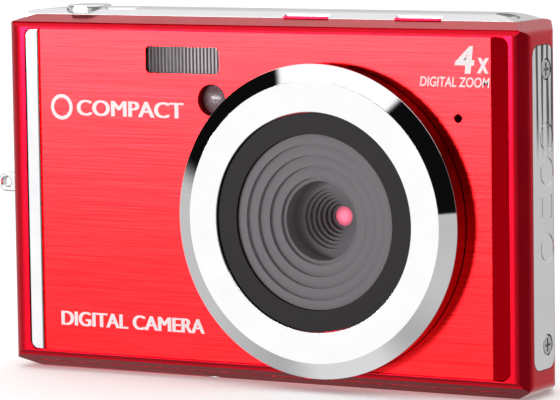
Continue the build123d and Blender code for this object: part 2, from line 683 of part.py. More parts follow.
with BuildPart() as face_trim:
    with BuildSketch(at_depth(PLATE_FLOOR)):
        with Locations((RECESS_X, RECESS_Z)):
            RectangleRounded(
                2 * (RECESS_X - TRIM_LEFT),
                RECESS_TOP - RECESS_BOTTOM - 2 * PLATE_GAP,
                PLATE_CORNER,
            )
    extrude(amount=PLATE_FLOOR - FRONT)
    with BuildSketch(at_depth(PLATE_FLOOR)):
        with Locations((TRIM_RIGHT, RECESS_Z)):
            Rectangle(HALF_WIDTH, BODY_WIDTH, align=(Align.MAX, Align.CENTER))
    extrude(amount=THROUGH, mode=Mode.INTERSECT)
    chamfer(face_trim.faces().sort_by(Axis.Y)[0].edges(), TRIM_EDGE)
face_trim.part.label = "face_trim"
export_step(face_trim.part, "parts/face_trim.step")

# ---------------------------------------------------------------- side plates
MARK_HEIGHTS = (40.8, 35.4, 23.5)
MARK_RADIUS = 2.3
MARK_LINE = 0.28
MARK_DEPTH = 0.12
BADGE_HEIGHT = 29.9
BADGE_SIZE = 3.6
SIDE_HEAD_GAP = 0.12


def side_plate(side):
    """Bright side plate, following the body's outer surface; side is -1 left, 1 right."""
    with BuildPart() as plate:
        add(body_block.part)
        with BuildSketch(at_side(side * SIDE_PLATE_INSIDE)):
            with Locations((SIDE_PLATE_Y, SIDE_PLATE_Z)):
                RectangleRounded(
                    SIDE_PLATE_REAR - SIDE_PLATE_FRONT,
                    SIDE_PLATE_TOP - SIDE_PLATE_BOTTOM,
                    SIDE_PLATE_CORNER - FIT_GAP,
                )
        extrude(amount=side * THROUGH, mode=Mode.INTERSECT)
        with BuildSketch(at_side(side * SIDE_PLATE_INSIDE)):
            for height in SIDE_SCREW_HEIGHTS:
                with Locations((SIDE_SCREW_Y, height)):
                    Circle(SCREW_SHANK_RADIUS)
        extrude(amount=side * THROUGH, mode=Mode.SUBTRACT)
        with BuildSketch(at_side(side * (SIDE_HEAD_TOP - SCREW_HEAD_DEPTH))):
            for height in SIDE_SCREW_HEIGHTS:
                with Locations((SIDE_SCREW_Y, height)):
                    Circle(SCREW_HEAD_RADIUS + SIDE_HEAD_GAP)
        extrude(amount=side * THROUGH, mode=Mode.SUBTRACT)
    return plate.part


with BuildPart() as side_plate_right:
    add(side_plate(1))
    # shallow round and square marks pressed into the plate
    with BuildSketch(at_side(HALF_WIDTH - MARK_DEPTH)):
        for height in MARK_HEIGHTS:
            with Locations((SIDE_SCREW_Y, height)):
                Circle(MARK_RADIUS)
                Circle(MARK_RADIUS - MARK_LINE, mode=Mode.SUBTRACT)
        with Locations((SIDE_SCREW_Y, BADGE_HEIGHT)):
            Rectangle(BADGE_SIZE, BADGE_SIZE)
            Rectangle(
                BADGE_SIZE - 2 * MARK_LINE,
                BADGE_SIZE - 2 * MARK_LINE,
                mode=Mode.SUBTRACT,
            )
    extrude(amount=THROUGH, mode=Mode.SUBTRACT)
side_plate_right.part.label = "side_plate_right"
export_step(side_plate_right.part, "parts/side_plate_right.step")

with BuildPart() as side_plate_left:
    add(side_plate(-1))
    with BuildSketch(at_side(-SIDE_PLATE_INSIDE)):
        with Locations((LUG_Y, LUG_Z)):
            Rectangle(LUG_THICKNESS, LUG_HEIGHT)
    extrude(amount=-THROUGH, mode=Mode.SUBTRACT)
side_plate_left.part.label = "side_plate_left"
export_step(side_plate_left.part, "parts/side_plate_left.step")

# ---------------------------------------------------------------- strap lug
LUG_BASE_INSIDE = -44.4
LUG_BASE_HEIGHT = 6.0
LUG_BASE_WIDTH = 3.0
LUG_EDGE = 0.2
LUG_HOLE_X = LUG_TIP + LUG_HEIGHT / 2

with BuildPart() as strap_lug:
    with BuildSketch(at_depth(LUG_Y + LUG_THICKNESS / 2)):
        with Locations((middle(LUG_HOLE_X, LUG_BASE_INSIDE), LUG_Z)):
            Rectangle(LUG_BASE_INSIDE - LUG_HOLE_X, LUG_HEIGHT)
        with Locations((LUG_HOLE_X, LUG_Z)):
            Circle(LUG_HEIGHT / 2)
            Circle(LUG_HOLE_RADIUS, mode=Mode.SUBTRACT)
    extrude(amount=LUG_THICKNESS)
    with BuildSketch(at_side(-CAVITY_HALF_WIDTH)):
        with Locations((LUG_Y, LUG_Z)):
            Rectangle(LUG_BASE_WIDTH, LUG_BASE_HEIGHT)
    extrude(amount=LUG_BASE_INSIDE + CAVITY_HALF_WIDTH)
    ring_edges = strap_lug.edges().filter_by(GeomType.CIRCLE)
    chamfer(ring_edges, LUG_EDGE)
strap_lug.part.label = "strap_lug"
export_step(strap_lug.part, "parts/strap_lug.step")

# ---------------------------------------------------------------- screws
CROSS_WIDTH = 0.42
CROSS_DEPTH = 0.4
CROSS_SPAN = 1.3  # length of the cross, in head radii
HEAD_EDGE = 0.15


def screw(top, head_radius, head_depth, shank_radius, length):
    """Cross-head screw. The plane holds the top of its head and faces away from the shank."""
    with BuildPart() as body:
        with BuildSketch(top):
            Circle(head_radius)
        extrude(amount=-head_depth)
        chamfer(body.faces().sort_by_distance(top.origin)[0].edges(), HEAD_EDGE)
        with BuildSketch(top.offset(-head_depth)):
            Circle(shank_radius)
        extrude(amount=-length)
        with BuildSketch(top):
            Rectangle(CROSS_SPAN * head_radius, CROSS_WIDTH)
            Rectangle(CROSS_WIDTH, CROSS_SPAN * head_radius)
        extrude(amount=-CROSS_DEPTH, mode=Mode.SUBTRACT)
    return body.part


def case_screw(top, length):
    """One of the alike screws that hold the casing together."""
    return screw(top, SCREW_HEAD_RADIUS, SCREW_HEAD_DEPTH, SCREW_SHANK_RADIUS - PRESS_GAP, length)


SIDE_SHANK = 3.55
TOP_SHANK = 1.9
BOTTOM_SHANK = 3.6
with BuildPart() as case_screws:
    for side in (-1, 1):
        for height in SIDE_SCREW_HEIGHTS:
            place = (side * SIDE_HEAD_TOP, SIDE_SCREW_Y, height)
            add(case_screw(Plane(origin=place, x_dir=(0, 1, 0), z_dir=(side, 0, 0)), SIDE_SHANK))
    for x, top in TOP_SCREWS:
        add(case_screw(Plane(origin=(x, TOP_SCREW_Y, top), z_dir=(0, 0, 1)), TOP_SHANK))
    for x in BOTTOM_SCREWS:
        place = (x, BOTTOM_SCREW_Y, FIT_GAP)
        add(case_screw(Plane(origin=place, x_dir=(1, 0, 0), z_dir=(0, 0, -1)), BOTTOM_SHANK))
case_screws.part.label = "case_screws"
export_step(case_screws.part, "parts/case_screws.step")

# ---------------------------------------------------------------- lens rings and baffles
RING_FACE = BEZEL_FRONT + 0.49
RING_COLLAR_END = -9.0
BEZEL_FACE_RADIUS = 22.32
BEZEL_BORE = 17.42
BEZEL_LIP = 0.25
BEZEL_EDGE = 0.1
COLLAR_GAP = 0.05

with BuildPart() as lens_bezel:
    with BuildSketch(LENS_PLANE):
        with BuildLine():
            Polyline(
                (BEZEL_BORE, BOSS_FRONT),
                (BEZEL_RADIUS, BOSS_FRONT),
                (BEZEL_RADIUS, BOSS_FRONT - BEZEL_LIP),
                (BEZEL_FACE_RADIUS, BEZEL_FRONT),
                (BEZEL_BORE + BEZEL_EDGE, BEZEL_FRONT),
                (BEZEL_BORE, BEZEL_FRONT + BEZEL_EDGE),
                close=True,
            )
        make_face()
    revolve(axis=LENS_AXIS)
lens_bezel.part.label = "lens_bezel"
export_step(lens_bezel.part, "parts/lens_bezel.step")

with BuildPart() as lens_front_ring:
    with BuildSketch(LENS_PLANE):
        with BuildLine():
            Polyline(
                (CONE_RADIUS, RING_FACE),
                (BEZEL_BORE - FIT_GAP, RING_FACE),
                (BEZEL_BORE - FIT_GAP, BOSS_FRONT),
                (BOSS_BORE - COLLAR_GAP, BOSS_FRONT),
                (BOSS_BORE - COLLAR_GAP, RING_COLLAR_END),
                (CONE_RADIUS, RING_COLLAR_END),
                close=True,
            )
        make_face()
    revolve(axis=LENS_AXIS)
lens_front_ring.part.label = "lens_front_ring"
export_step(lens_front_ring.part, "parts/lens_front_ring.step")

# stepped light baffles: each step is a flat tread and a short riser
OUTER_TREADS = (13.9, 12.4, 10.6, 8.8, 7.0)
OUTER_RISER = 0.52
THROAT_RADIUS = 6.34
THROAT_END = -6.8
BAFFLE_WALL = 0.7
OUTER_BAFFLE_BACK = -9.2
OUTER_BAFFLE_RIM = -10.1  # back of the baffle at its largest radius

with BuildPart() as lens_outer_baffle:
    with BuildSketch(LENS_PLANE):
        with BuildLine():
            first_tread = RING_FACE + OUTER_RISER
            profile = [(OUTER_TREADS[0], first_tread)]
            for step, radius in enumerate(OUTER_TREADS[1:]):
                profile.append((radius, first_tread + step * OUTER_RISER))
                profile.append((radius, first_tread + (step + 1) * OUTER_RISER))
            throat_start = first_tread + (len(OUTER_TREADS) - 1) * OUTER_RISER
            profile += [
                (THROAT_RADIUS, throat_start),
                (THROAT_RADIUS, THROAT_END),
                (THROAT_RADIUS + BAFFLE_WALL, THROAT_END),
                (THROAT_RADIUS + BAFFLE_WALL, OUTER_BAFFLE_BACK),
                (OUTER_TREADS[0], OUTER_BAFFLE_RIM),
            ]
            Polyline(*profile, close=True)
        make_face()
    revolve(axis=LENS_AXIS)
lens_outer_baffle.part.label = "lens_outer_baffle"
export_step(lens_outer_baffle.part, "parts/lens_outer_baffle.step")

INNER_START = 4.8
INNER_END = 1.6
INNER_STEPS = 6
INNER_BACK = -2.7
INNER_LIP = 0.25
INNER_LIP_WIDTH = 1.0
INNER_OUTER = THROAT_RADIUS + BAFFLE_WALL

with BuildPart() as lens_inner_baffle:
    with BuildSketch(LENS_PLANE):
        with BuildLine():
            tread = (INNER_START - INNER_END) / INNER_STEPS
            riser = (INNER_BACK - THROAT_END) / INNER_STEPS
            profile = [(INNER_OUTER, THROAT_END), (INNER_START, THROAT_END)]
            for step in range(INNER_STEPS):
                depth = THROAT_END + (step + 1) * riser
                profile.append((INNER_START - step * tread, depth))
                profile.append((INNER_START - (step + 1) * tread, depth))
            profile += [
                (INNER_END, INNER_BACK + INNER_LIP),
                (INNER_END + INNER_LIP_WIDTH, INNER_BACK + INNER_LIP),
                (INNER_START + BAFFLE_WALL, THROAT_END + BAFFLE_WALL),
                (INNER_OUTER, THROAT_END + BAFFLE_WALL),
            ]
            Polyline(*profile, close=True)
        make_face()
    revolve(axis=LENS_AXIS)
lens_inner_baffle.part.label = "lens_inner_baffle"
export_step(lens_inner_baffle.part, "parts/lens_inner_baffle.step")

# ---------------------------------------------------------------- lenses, barrel, holder, sensor
GLASS_RADIUS = 2.4
GLASS_EDGE = 0.3
GLASS_RISE = 0.2
GLASS_OPENING = 1.55
BARREL_RADIUS = 4.0
BARREL_FRONT = -2.4
BARREL_REAR = -0.1
FRONT_GLASS_START = -2.4
FRONT_GLASS_END = -1.3
REAR_GLASS_START = -1.0
REAR_GLASS_END = -0.2
HOLDER_BASE = 17.0
HOLDER_POCKET = 11.0
HOLDER_BACK = 1.4
HOLDER_CORNER = 1.0
HOLDER_COVER = 0.3  # thickness of the cover in front of the pocket
HOLDER_OPENING = 9.0
HOLDER_LIP = 0.5
HOLDER_DISC_RADIUS = 7.0
HOLDER_DISC_HEIGHT = 0.45
HOLDER_TUBE_RADIUS = 5.4
HOLDER_TUBE_HEIGHT = 1.9
HOLDER_SEAT_RADIUS = 6.3
FILTER_SIZE = 10.4
FILTER_REAR = 0.65
FILTER_THICKNESS = 0.3
SENSOR_WIDTH = 8.6
SENSOR_HEIGHT = 7.6
SENSOR_THICKNESS = 0.6
SENSOR_BOARD_WIDTH = 24.0
SENSOR_BOARD_HEIGHT = 19.0
BOARD_THICKNESS = 0.8

with BuildPart() as front_lens:
    with BuildSketch(LENS_PLANE):
        with BuildLine():
            Line((0, FRONT_GLASS_END), (GLASS_RADIUS, FRONT_GLASS_END))
            Line((GLASS_RADIUS, FRONT_GLASS_END), (GLASS_RADIUS, FRONT_GLASS_START + GLASS_EDGE))
            Line((GLASS_RADIUS, FRONT_GLASS_START + GLASS_EDGE), (GLASS_OPENING, FRONT_GLASS_START))
            dome(GLASS_OPENING, FRONT_GLASS_START, FRONT_GLASS_START - GLASS_RISE)
            Line((0, FRONT_GLASS_START - GLASS_RISE), (0, FRONT_GLASS_END))
        make_face()
    revolve(axis=LENS_AXIS)
front_lens.part.label = "front_lens"
export_step(front_lens.part, "parts/front_lens.step")

with BuildPart() as rear_lens:
    with BuildSketch(LENS_PLANE):
        with BuildLine():
            Line((0, REAR_GLASS_START), (GLASS_RADIUS, REAR_GLASS_START))
            Line((GLASS_RADIUS, REAR_GLASS_START), (GLASS_RADIUS, REAR_GLASS_END - GLASS_RISE))
            dome(GLASS_RADIUS, REAR_GLASS_END - GLASS_RISE, REAR_GLASS_END)
            Line((0, REAR_GLASS_END), (0, REAR_GLASS_START))
        make_face()
    revolve(axis=LENS_AXIS)
rear_lens.part.label = "rear_lens"
export_step(rear_lens.part, "parts/rear_lens.step")

with BuildPart() as lens_barrel:
    with BuildSketch(LENS_PLANE):
        with Locations((middle(GLASS_RADIUS + PRESS_GAP, BARREL_RADIUS), middle(BARREL_FRONT, BARREL_REAR))):
            Rectangle(BARREL_RADIUS - GLASS_RADIUS - PRESS_GAP, BARREL_REAR - BARREL_FRONT)
    revolve(axis=LENS_AXIS)
lens_barrel.part.label = "lens_barrel"
export_step(lens_barrel.part, "parts/lens_barrel.step")

with BuildPart() as lens_holder:
    with BuildSketch(at_depth(HOLDER_BACK)):
        with Locations((LENS_X, LENS_Z)):
            RectangleRounded(HOLDER_BASE, HOLDER_BASE, HOLDER_CORNER)
            Rectangle(HOLDER_POCKET, HOLDER_POCKET, mode=Mode.SUBTRACT)
    extrude(amount=HOLDER_BACK)
    with BuildSketch(at_depth(HOLDER_COVER)):
        with Locations((LENS_X, LENS_Z)):
            Rectangle(HOLDER_POCKET + HOLDER_LIP, HOLDER_POCKET + HOLDER_LIP)
            Rectangle(HOLDER_OPENING, HOLDER_OPENING, mode=Mode.SUBTRACT)
    extrude(amount=HOLDER_COVER)
    with BuildSketch(Plane.XZ):
        with Locations((LENS_X, LENS_Z)):
            Circle(HOLDER_DISC_RADIUS)
            Circle(BARREL_RADIUS + PRESS_GAP, mode=Mode.SUBTRACT)
    extrude(amount=HOLDER_DISC_HEIGHT)
    with BuildSketch(Plane.XZ):
        with Locations((LENS_X, LENS_Z)):
            Circle(HOLDER_TUBE_RADIUS)
            Circle(BARREL_RADIUS + PRESS_GAP, mode=Mode.SUBTRACT)
    extrude(amount=HOLDER_TUBE_HEIGHT)
    with BuildSketch(at_depth(HOLDER_COVER)):
        with Locations((LENS_X, LENS_Z)):
            Circle(HOLDER_SEAT_RADIUS)
            Circle(BARREL_RADIUS + PRESS_GAP, mode=Mode.SUBTRACT)
    extrude(amount=HOLDER_COVER)
lens_holder.part.label = "lens_holder"
export_step(lens_holder.part, "parts/lens_holder.step")

with BuildPart() as ir_filter:
    with BuildSketch(at_depth(FILTER_REAR)):
        with Locations((LENS_X, LENS_Z)):
            Rectangle(FILTER_SIZE, FILTER_SIZE)
    extrude(amount=FILTER_THICKNESS)
ir_filter.part.label = "ir_filter"
export_step(ir_filter.part, "parts/ir_filter.step")

with BuildPart() as image_sensor:
    with BuildSketch(at_depth(HOLDER_BACK)):
        with Locations((LENS_X, LENS_Z)):
            Rectangle(SENSOR_WIDTH, SENSOR_HEIGHT)
    extrude(amount=SENSOR_THICKNESS)
image_sensor.part.label = "image_sensor"
export_step(image_sensor.part, "parts/image_sensor.step")

with BuildPart() as sensor_board:
    with BuildSketch(at_depth(HOLDER_BACK + BOARD_THICKNESS)):
        with Locations((LENS_X, LENS_Z)):
            RectangleRounded(SENSOR_BOARD_WIDTH, SENSOR_BOARD_HEIGHT, HOLDER_CORNER)
    extrude(amount=BOARD_THICKNESS)
sensor_board.part.label = "sensor_board"
export_step(sensor_board.part, "parts/sensor_board.step")

# ---------------------------------------------------------------- chassis and its screws
CHASSIS_LEFT = -8.5
CHASSIS_RIGHT = 31.0
CHASSIS_BOTTOM = 7.2
CHASSIS_TOP = 48.5
CHASSIS_CORNER = 1.5
CHASSIS_HEAD_RADIUS = 1.4
CHASSIS_HEAD_DEPTH = 0.7
CHASSIS_SHANK = 3.0

with BuildPart() as chassis:
    with BuildSketch(at_depth(CHASSIS_FRONT + CHASSIS_THICKNESS)):
        with Locations((middle(CHASSIS_LEFT, CHASSIS_RIGHT), middle(CHASSIS_BOTTOM, CHASSIS_TOP))):
            RectangleRounded(CHASSIS_RIGHT - CHASSIS_LEFT, CHASSIS_TOP - CHASSIS_BOTTOM, CHASSIS_CORNER)
        with Locations((LENS_X, LENS_Z)):
            Circle(HOLDER_DISC_RADIUS + FIT_GAP, mode=Mode.SUBTRACT)
        with Locations(*POSTS):
            Circle(POST_HOLE_RADIUS + CLEARANCE, mode=Mode.SUBTRACT)
    extrude(amount=CHASSIS_THICKNESS)
chassis.part.label = "chassis"
export_step(chassis.part, "parts/chassis.step")

with BuildPart() as chassis_screws:
    for x, z in POSTS:
        place = (x, CHASSIS_FRONT + CHASSIS_THICKNESS + CHASSIS_HEAD_DEPTH, z)
        facing_rear = Plane(origin=place, x_dir=(1, 0, 0), z_dir=(0, 1, 0))
        shank_radius = POST_HOLE_RADIUS - PRESS_GAP
        add(screw(facing_rear, CHASSIS_HEAD_RADIUS, CHASSIS_HEAD_DEPTH, shank_radius, CHASSIS_SHANK))
chassis_screws.part.label = "chassis_screws"
export_step(chassis_screws.part, "parts/chassis_screws.step")

# ---------------------------------------------------------------- flash, lamp and microphone
FLASH_FACE = PLATE_FRONT + 0.45
FLASH_FLANGE = 0.6
FLASH_FLANGE_LIP = 0.7
FLASH_GAP = 0.08
FLASH_RIBS = 25
FLASH_RIB_PITCH = 0.52
FLASH_RIB_DEPTH = 0.26
REFLECTOR_WIDTH = 13.2
REFLECTOR_HEIGHT = 5.0
REFLECTOR_DEPTH = 4.2
REFLECTOR_SHEET = 0.4
TUBE_RADIUS = 0.9
TUBE_LENGTH = 16.4
TUBE_EDGE = 0.3
TUBE_GAP = 0.1
FLASH_BOARD_X = -12.0
FLASH_BOARD_Z = 50.6
FLASH_BOARD_WIDTH = 19.0
FLASH_BOARD_HEIGHT = 10.0
FLASH_BOARD_REAR = -0.9
LED_WIDTH = 2.6
LED_HEIGHT = 2.0
LED_REACH = 3.0
LED_RISE = 0.6

with BuildPart() as flash_window:
    with BuildSketch(at_depth(CAVITY_FRONT)):
        with Locations((FLASH_X, FLASH_Z)):
            RectangleRounded(
                FLASH_WIDTH - 2 * FLASH_GAP,
                FLASH_HEIGHT - 2 * FLASH_GAP,
                FLASH_CORNER - FLASH_GAP,
            )
    extrude(amount=CAVITY_FRONT - FLASH_FACE)
    with BuildSketch(at_depth(CAVITY_FRONT + FLASH_FLANGE)):
        with Locations((FLASH_X, FLASH_Z)):
            Rectangle(FLASH_WIDTH + 2 * FLASH_FLANGE_LIP, FLASH_HEIGHT + 2 * FLASH_FLANGE_LIP)
    extrude(amount=FLASH_FLANGE)
    # upright ribs on the inner side
    with BuildSketch(at_height(FLASH_Z - FLASH_HEIGHT)):
        with Locations((FLASH_X, CAVITY_FRONT + FLASH_FLANGE)):
            with GridLocations(FLASH_RIB_PITCH, 0, FLASH_RIBS, 1):
                RegularPolygon(FLASH_RIB_DEPTH, 4, rotation=0)
    extrude(amount=2 * FLASH_HEIGHT, mode=Mode.SUBTRACT)
flash_window.part.label = "flash_window"
export_step(flash_window.part, "parts/flash_window.step")

with BuildPart() as flash_reflector:
    reflector_front = CAVITY_FRONT + FLASH_FLANGE + FIT_GAP
    reflector_back = reflector_front + REFLECTOR_DEPTH
    with BuildSketch(at_side(FLASH_X - REFLECTOR_WIDTH / 2)):
        with BuildLine():
            top = (reflector_front, FLASH_Z + REFLECTOR_HEIGHT / 2)
            bottom = (reflector_front, FLASH_Z - REFLECTOR_HEIGHT / 2)
            ThreePointArc(top, (reflector_back, FLASH_Z), bottom)
            inner_top = (reflector_front, FLASH_Z + REFLECTOR_HEIGHT / 2 - REFLECTOR_SHEET)
            inner_bottom = (reflector_front, FLASH_Z - REFLECTOR_HEIGHT / 2 + REFLECTOR_SHEET)
            Line(bottom, inner_bottom)
            ThreePointArc(inner_bottom, (reflector_back - REFLECTOR_SHEET, FLASH_Z), inner_top)
            Line(inner_top, top)
        make_face()
    extrude(amount=REFLECTOR_WIDTH)
flash_reflector.part.label = "flash_reflector"
export_step(flash_reflector.part, "parts/flash_reflector.step")

TUBE_Y = reflector_back - REFLECTOR_SHEET - TUBE_GAP - TUBE_RADIUS
with BuildPart() as flash_tube:
    with BuildSketch(at_side(FLASH_X - TUBE_LENGTH / 2)):
        with Locations((TUBE_Y, FLASH_Z)):
            Circle(TUBE_RADIUS)
    extrude(amount=TUBE_LENGTH)
    chamfer(flash_tube.edges().filter_by(GeomType.CIRCLE), TUBE_EDGE)
flash_tube.part.label = "flash_tube"
export_step(flash_tube.part, "parts/flash_tube.step")

with BuildPart() as flash_board:
    with BuildSketch(at_depth(FLASH_BOARD_REAR)):
        with Locations((FLASH_BOARD_X, FLASH_BOARD_Z)):
            Rectangle(FLASH_BOARD_WIDTH, FLASH_BOARD_HEIGHT)
    extrude(amount=BOARD_THICKNESS)
    # the lamp's LED stands forward on the board
    with BuildSketch(at_depth(FLASH_BOARD_REAR - BOARD_THICKNESS)):
        with Locations((LAMP_X, LAMP_Z + LED_RISE)):
            Rectangle(LED_WIDTH, LED_HEIGHT)
    extrude(amount=LED_REACH)
flash_board.part.label = "flash_board"
export_step(flash_board.part, "parts/flash_board.step")

CAPACITOR_RADIUS = 3.9
CAPACITOR_X = 36.6
CAPACITOR_Y = -2.5
CAPACITOR_BOTTOM = 9.0
CAPACITOR_LENGTH = 29.0
CAPACITOR_ROUND = 0.6
with BuildPart() as flash_capacitor:
    with BuildSketch(at_height(CAPACITOR_BOTTOM)):
        with Locations((CAPACITOR_X, CAPACITOR_Y)):
            Circle(CAPACITOR_RADIUS)
    extrude(amount=CAPACITOR_LENGTH)
    fillet(flash_capacitor.edges().filter_by(GeomType.CIRCLE), CAPACITOR_ROUND)
flash_capacitor.part.label = "flash_capacitor"
export_step(flash_capacitor.part, "parts/flash_capacitor.step")

LAMP_FLANGE_RADIUS = 3.25
LAMP_GLASS_RADIUS = LAMP_RADIUS - 0.06
LAMP_REAR = -5.9
LAMP_EDGE = -7.0
LAMP_APEX = -7.5
with BuildPart() as lamp_window:
    lamp_plane = Plane(origin=(LAMP_X, 0, LAMP_Z), x_dir=(1, 0, 0), z_dir=(0, 0, 1))
    with BuildSketch(lamp_plane):
        with BuildLine():
            Line((0, LAMP_REAR), (LAMP_FLANGE_RADIUS, LAMP_REAR))
            Line((LAMP_FLANGE_RADIUS, LAMP_REAR), (LAMP_FLANGE_RADIUS, CAVITY_FRONT))
            Line((LAMP_FLANGE_RADIUS, CAVITY_FRONT), (LAMP_GLASS_RADIUS, CAVITY_FRONT))
            Line((LAMP_GLASS_RADIUS, CAVITY_FRONT), (LAMP_GLASS_RADIUS, LAMP_EDGE))
            dome(LAMP_GLASS_RADIUS, LAMP_EDGE, LAMP_APEX)
            Line((0, LAMP_APEX), (0, LAMP_REAR))
        make_face()
    revolve(axis=Axis((LAMP_X, 0, LAMP_Z), (0, 1, 0)))
lamp_window.part.label = "lamp_window"
export_step(lamp_window.part, "parts/lamp_window.step")

MIC_RADIUS = 2.0
MIC_LENGTH = 1.5
MIC_EDGE = 0.2
with BuildPart() as microphone:
    with BuildSketch(at_depth(CAVITY_FRONT + MIC_LENGTH)):
        with Locations((MIC_X, MIC_Z)):
            Circle(MIC_RADIUS)
    extrude(amount=MIC_LENGTH)
    chamfer(microphone.edges().filter_by(GeomType.CIRCLE), MIC_EDGE)
microphone.part.label = "microphone"
export_step(microphone.part, "parts/microphone.step")

# ---------------------------------------------------------------- top buttons and their board
SWITCH_TOP = 55.0
SWITCH_BOARD_TOP = 54.0
SWITCH_SIZE = 3.6
SWITCH_BOARD_X = -31.5
SWITCH_BOARD_WIDTH = 17.0
SWITCH_BOARD_LENGTH = 6.4
CAP_ROUND = 0.35


def top_button(x, width, length, corner, top):
    """Top button: rounded cap, stem through the casing and a foot that keeps it in."""
    with BuildPart() as button:
        with BuildSketch(at_height(CAP_BOTTOM)):
            with Locations((x, SHUTTER_Y)):
                RectangleRounded(width, length, corner)
        extrude(amount=top - CAP_BOTTOM)
        fillet(button.faces().sort_by(Axis.Z)[-1].edges(), CAP_ROUND)
        with BuildSketch(at_height(STEM_BOTTOM)):
            with Locations((x, SHUTTER_Y)):
                Circle(STEM_RADIUS)
        extrude(amount=CAP_BOTTOM - STEM_BOTTOM + OVERLAP)
        with BuildSketch(at_height(STEM_BOTTOM)):
            with Locations((x, SHUTTER_Y)):
                Circle(STEM_FOOT_RADIUS)
        extrude(amount=STEM_FOOT_TOP - STEM_BOTTOM)
    return button.part


with BuildPart() as shutter_button:
    add(top_button(SHUTTER_X, SHUTTER_WIDTH, SHUTTER_LENGTH, SHUTTER_CORNER, SHUTTER_TOP))
shutter_button.part.label = "shutter_button"
export_step(shutter_button.part, "parts/shutter_button.step")

with BuildPart() as power_button:
    add(top_button(POWER_X, POWER_WIDTH, POWER_LENGTH, POWER_CORNER, POWER_TOP))
power_button.part.label = "power_button"
export_step(power_button.part, "parts/power_button.step")

with BuildPart() as top_switch_board:
    with BuildSketch(at_height(SWITCH_BOARD_TOP - BOARD_THICKNESS)):
        with Locations((SWITCH_BOARD_X, SHUTTER_Y)):
            Rectangle(SWITCH_BOARD_WIDTH, SWITCH_BOARD_LENGTH)
    extrude(amount=BOARD_THICKNESS)
    with BuildSketch(at_height(SWITCH_BOARD_TOP)):
        with Locations((SHUTTER_X, SHUTTER_Y), (POWER_X, SHUTTER_Y)):
            Rectangle(SWITCH_SIZE, SWITCH_SIZE)
    extrude(amount=SWITCH_TOP - SWITCH_BOARD_TOP)
top_switch_board.part.label = "top_switch_board"
export_step(top_switch_board.part, "parts/top_switch_board.step")

# ---------------------------------------------------------------- display
PANEL_FRONT = 5.5
PANEL_REAR = 7.3
PANEL_WIDTH = 55.0
PANEL_HEIGHT = 42.0
FRAME_SHEET = 0.4
FRAME_WIDTH = PANEL_WIDTH + 1.2
FRAME_HEIGHT = PANEL_HEIGHT + 1.2
FRAME_OPENING = 12.0  # difference between the panel and the opening behind it
FRAME_PLAY = 0.2
FRAME_REAR = 7.0
WINDOW_EDGE = 0.12
STATUS_FLANGE_RADIUS = 1.3
STATUS_FLANGE = 0.8

with BuildPart() as display_window:
    with BuildSketch(at_depth(REAR)):
        with Locations((WINDOW_X, WINDOW_Z)):
            RectangleRounded(WINDOW_WIDTH, WINDOW_HEIGHT, WINDOW_CORNER - FIT_GAP)
    extrude(amount=WINDOW_THICKNESS)
    chamfer(display_window.faces().sort_by(Axis.Y)[-1].edges(), WINDOW_EDGE)
display_window.part.label = "display_window"
export_step(display_window.part, "parts/display_window.step")

with BuildPart() as display_panel:
    with BuildSketch(at_depth(PANEL_REAR)):
        with Locations((WINDOW_X, WINDOW_Z)):
            Rectangle(PANEL_WIDTH, PANEL_HEIGHT)
    extrude(amount=PANEL_REAR - PANEL_FRONT)
display_panel.part.label = "display_panel"
export_step(display_panel.part, "parts/display_panel.step")

with BuildPart() as display_frame:
    with BuildSketch(at_depth(PANEL_FRONT)):
        with Locations((WINDOW_X, WINDOW_Z)):
            Rectangle(FRAME_WIDTH, FRAME_HEIGHT)
            Rectangle(PANEL_WIDTH - FRAME_OPENING, PANEL_HEIGHT - FRAME_OPENING, mode=Mode.SUBTRACT)
    extrude(amount=FRAME_SHEET)
    with BuildSketch(at_depth(FRAME_REAR)):
        with Locations((WINDOW_X, WINDOW_Z)):
            Rectangle(FRAME_WIDTH, FRAME_HEIGHT)
            Rectangle(PANEL_WIDTH + FRAME_PLAY, PANEL_HEIGHT + FRAME_PLAY, mode=Mode.SUBTRACT)
    extrude(amount=FRAME_REAR - PANEL_FRONT + FRAME_SHEET)
display_frame.part.label = "display_frame"
export_step(display_frame.part, "parts/display_frame.step")

with BuildPart() as status_light:
    with BuildSketch(at_depth(REAR)):
        with Locations((STATUS_X, STATUS_Z)):
            Circle(STATUS_RADIUS - PRESS_GAP)
    extrude(amount=REAR - REAR_WALL_INSIDE + OVERLAP)
    with BuildSketch(at_depth(REAR_WALL_INSIDE - PIN_GAP)):
        with Locations((STATUS_X, STATUS_Z)):
            Circle(STATUS_FLANGE_RADIUS)
    extrude(amount=STATUS_FLANGE)
status_light.part.label = "status_light"
export_step(status_light.part, "parts/status_light.step")

# ---------------------------------------------------------------- rear keys
KEY_FLANGE_REAR = REAR_WALL_INSIDE - KEY_TRAVEL_GAP
KEY_FLANGE_FRONT = KEY_FLANGE_REAR - KEY_FLANGE
KEY_FACE = REAR + KEY_PROUD
KEY_EDGE = 0.2
FLANGE_LIP = 0.6
NAV_FLANGE_WIDTH = 5.6
OK_FLANGE_RADIUS = 4.65

for name, (x, z) in SMALL_KEYS.items():
    with BuildPart() as key:
        with BuildSketch(at_depth(KEY_FACE)):
            with Locations((x, z)):
                RectangleRounded(SMALL_KEY_WIDTH, SMALL_KEY_HEIGHT, SMALL_KEY_CORNER)
        extrude(amount=KEY_FACE - KEY_FLANGE_FRONT)
        fillet(key.faces().sort_by(Axis.Y)[-1].edges(), KEY_EDGE)
        with BuildSketch(at_depth(KEY_FLANGE_REAR)):
            with Locations((x, z)):
                Rectangle(SMALL_KEY_WIDTH + 2 * FLANGE_LIP, SMALL_KEY_HEIGHT + 2 * FLANGE_LIP)
        extrude(amount=KEY_FLANGE)
    key.part.label = name
    export_step(key.part, f"parts/{name}.step")

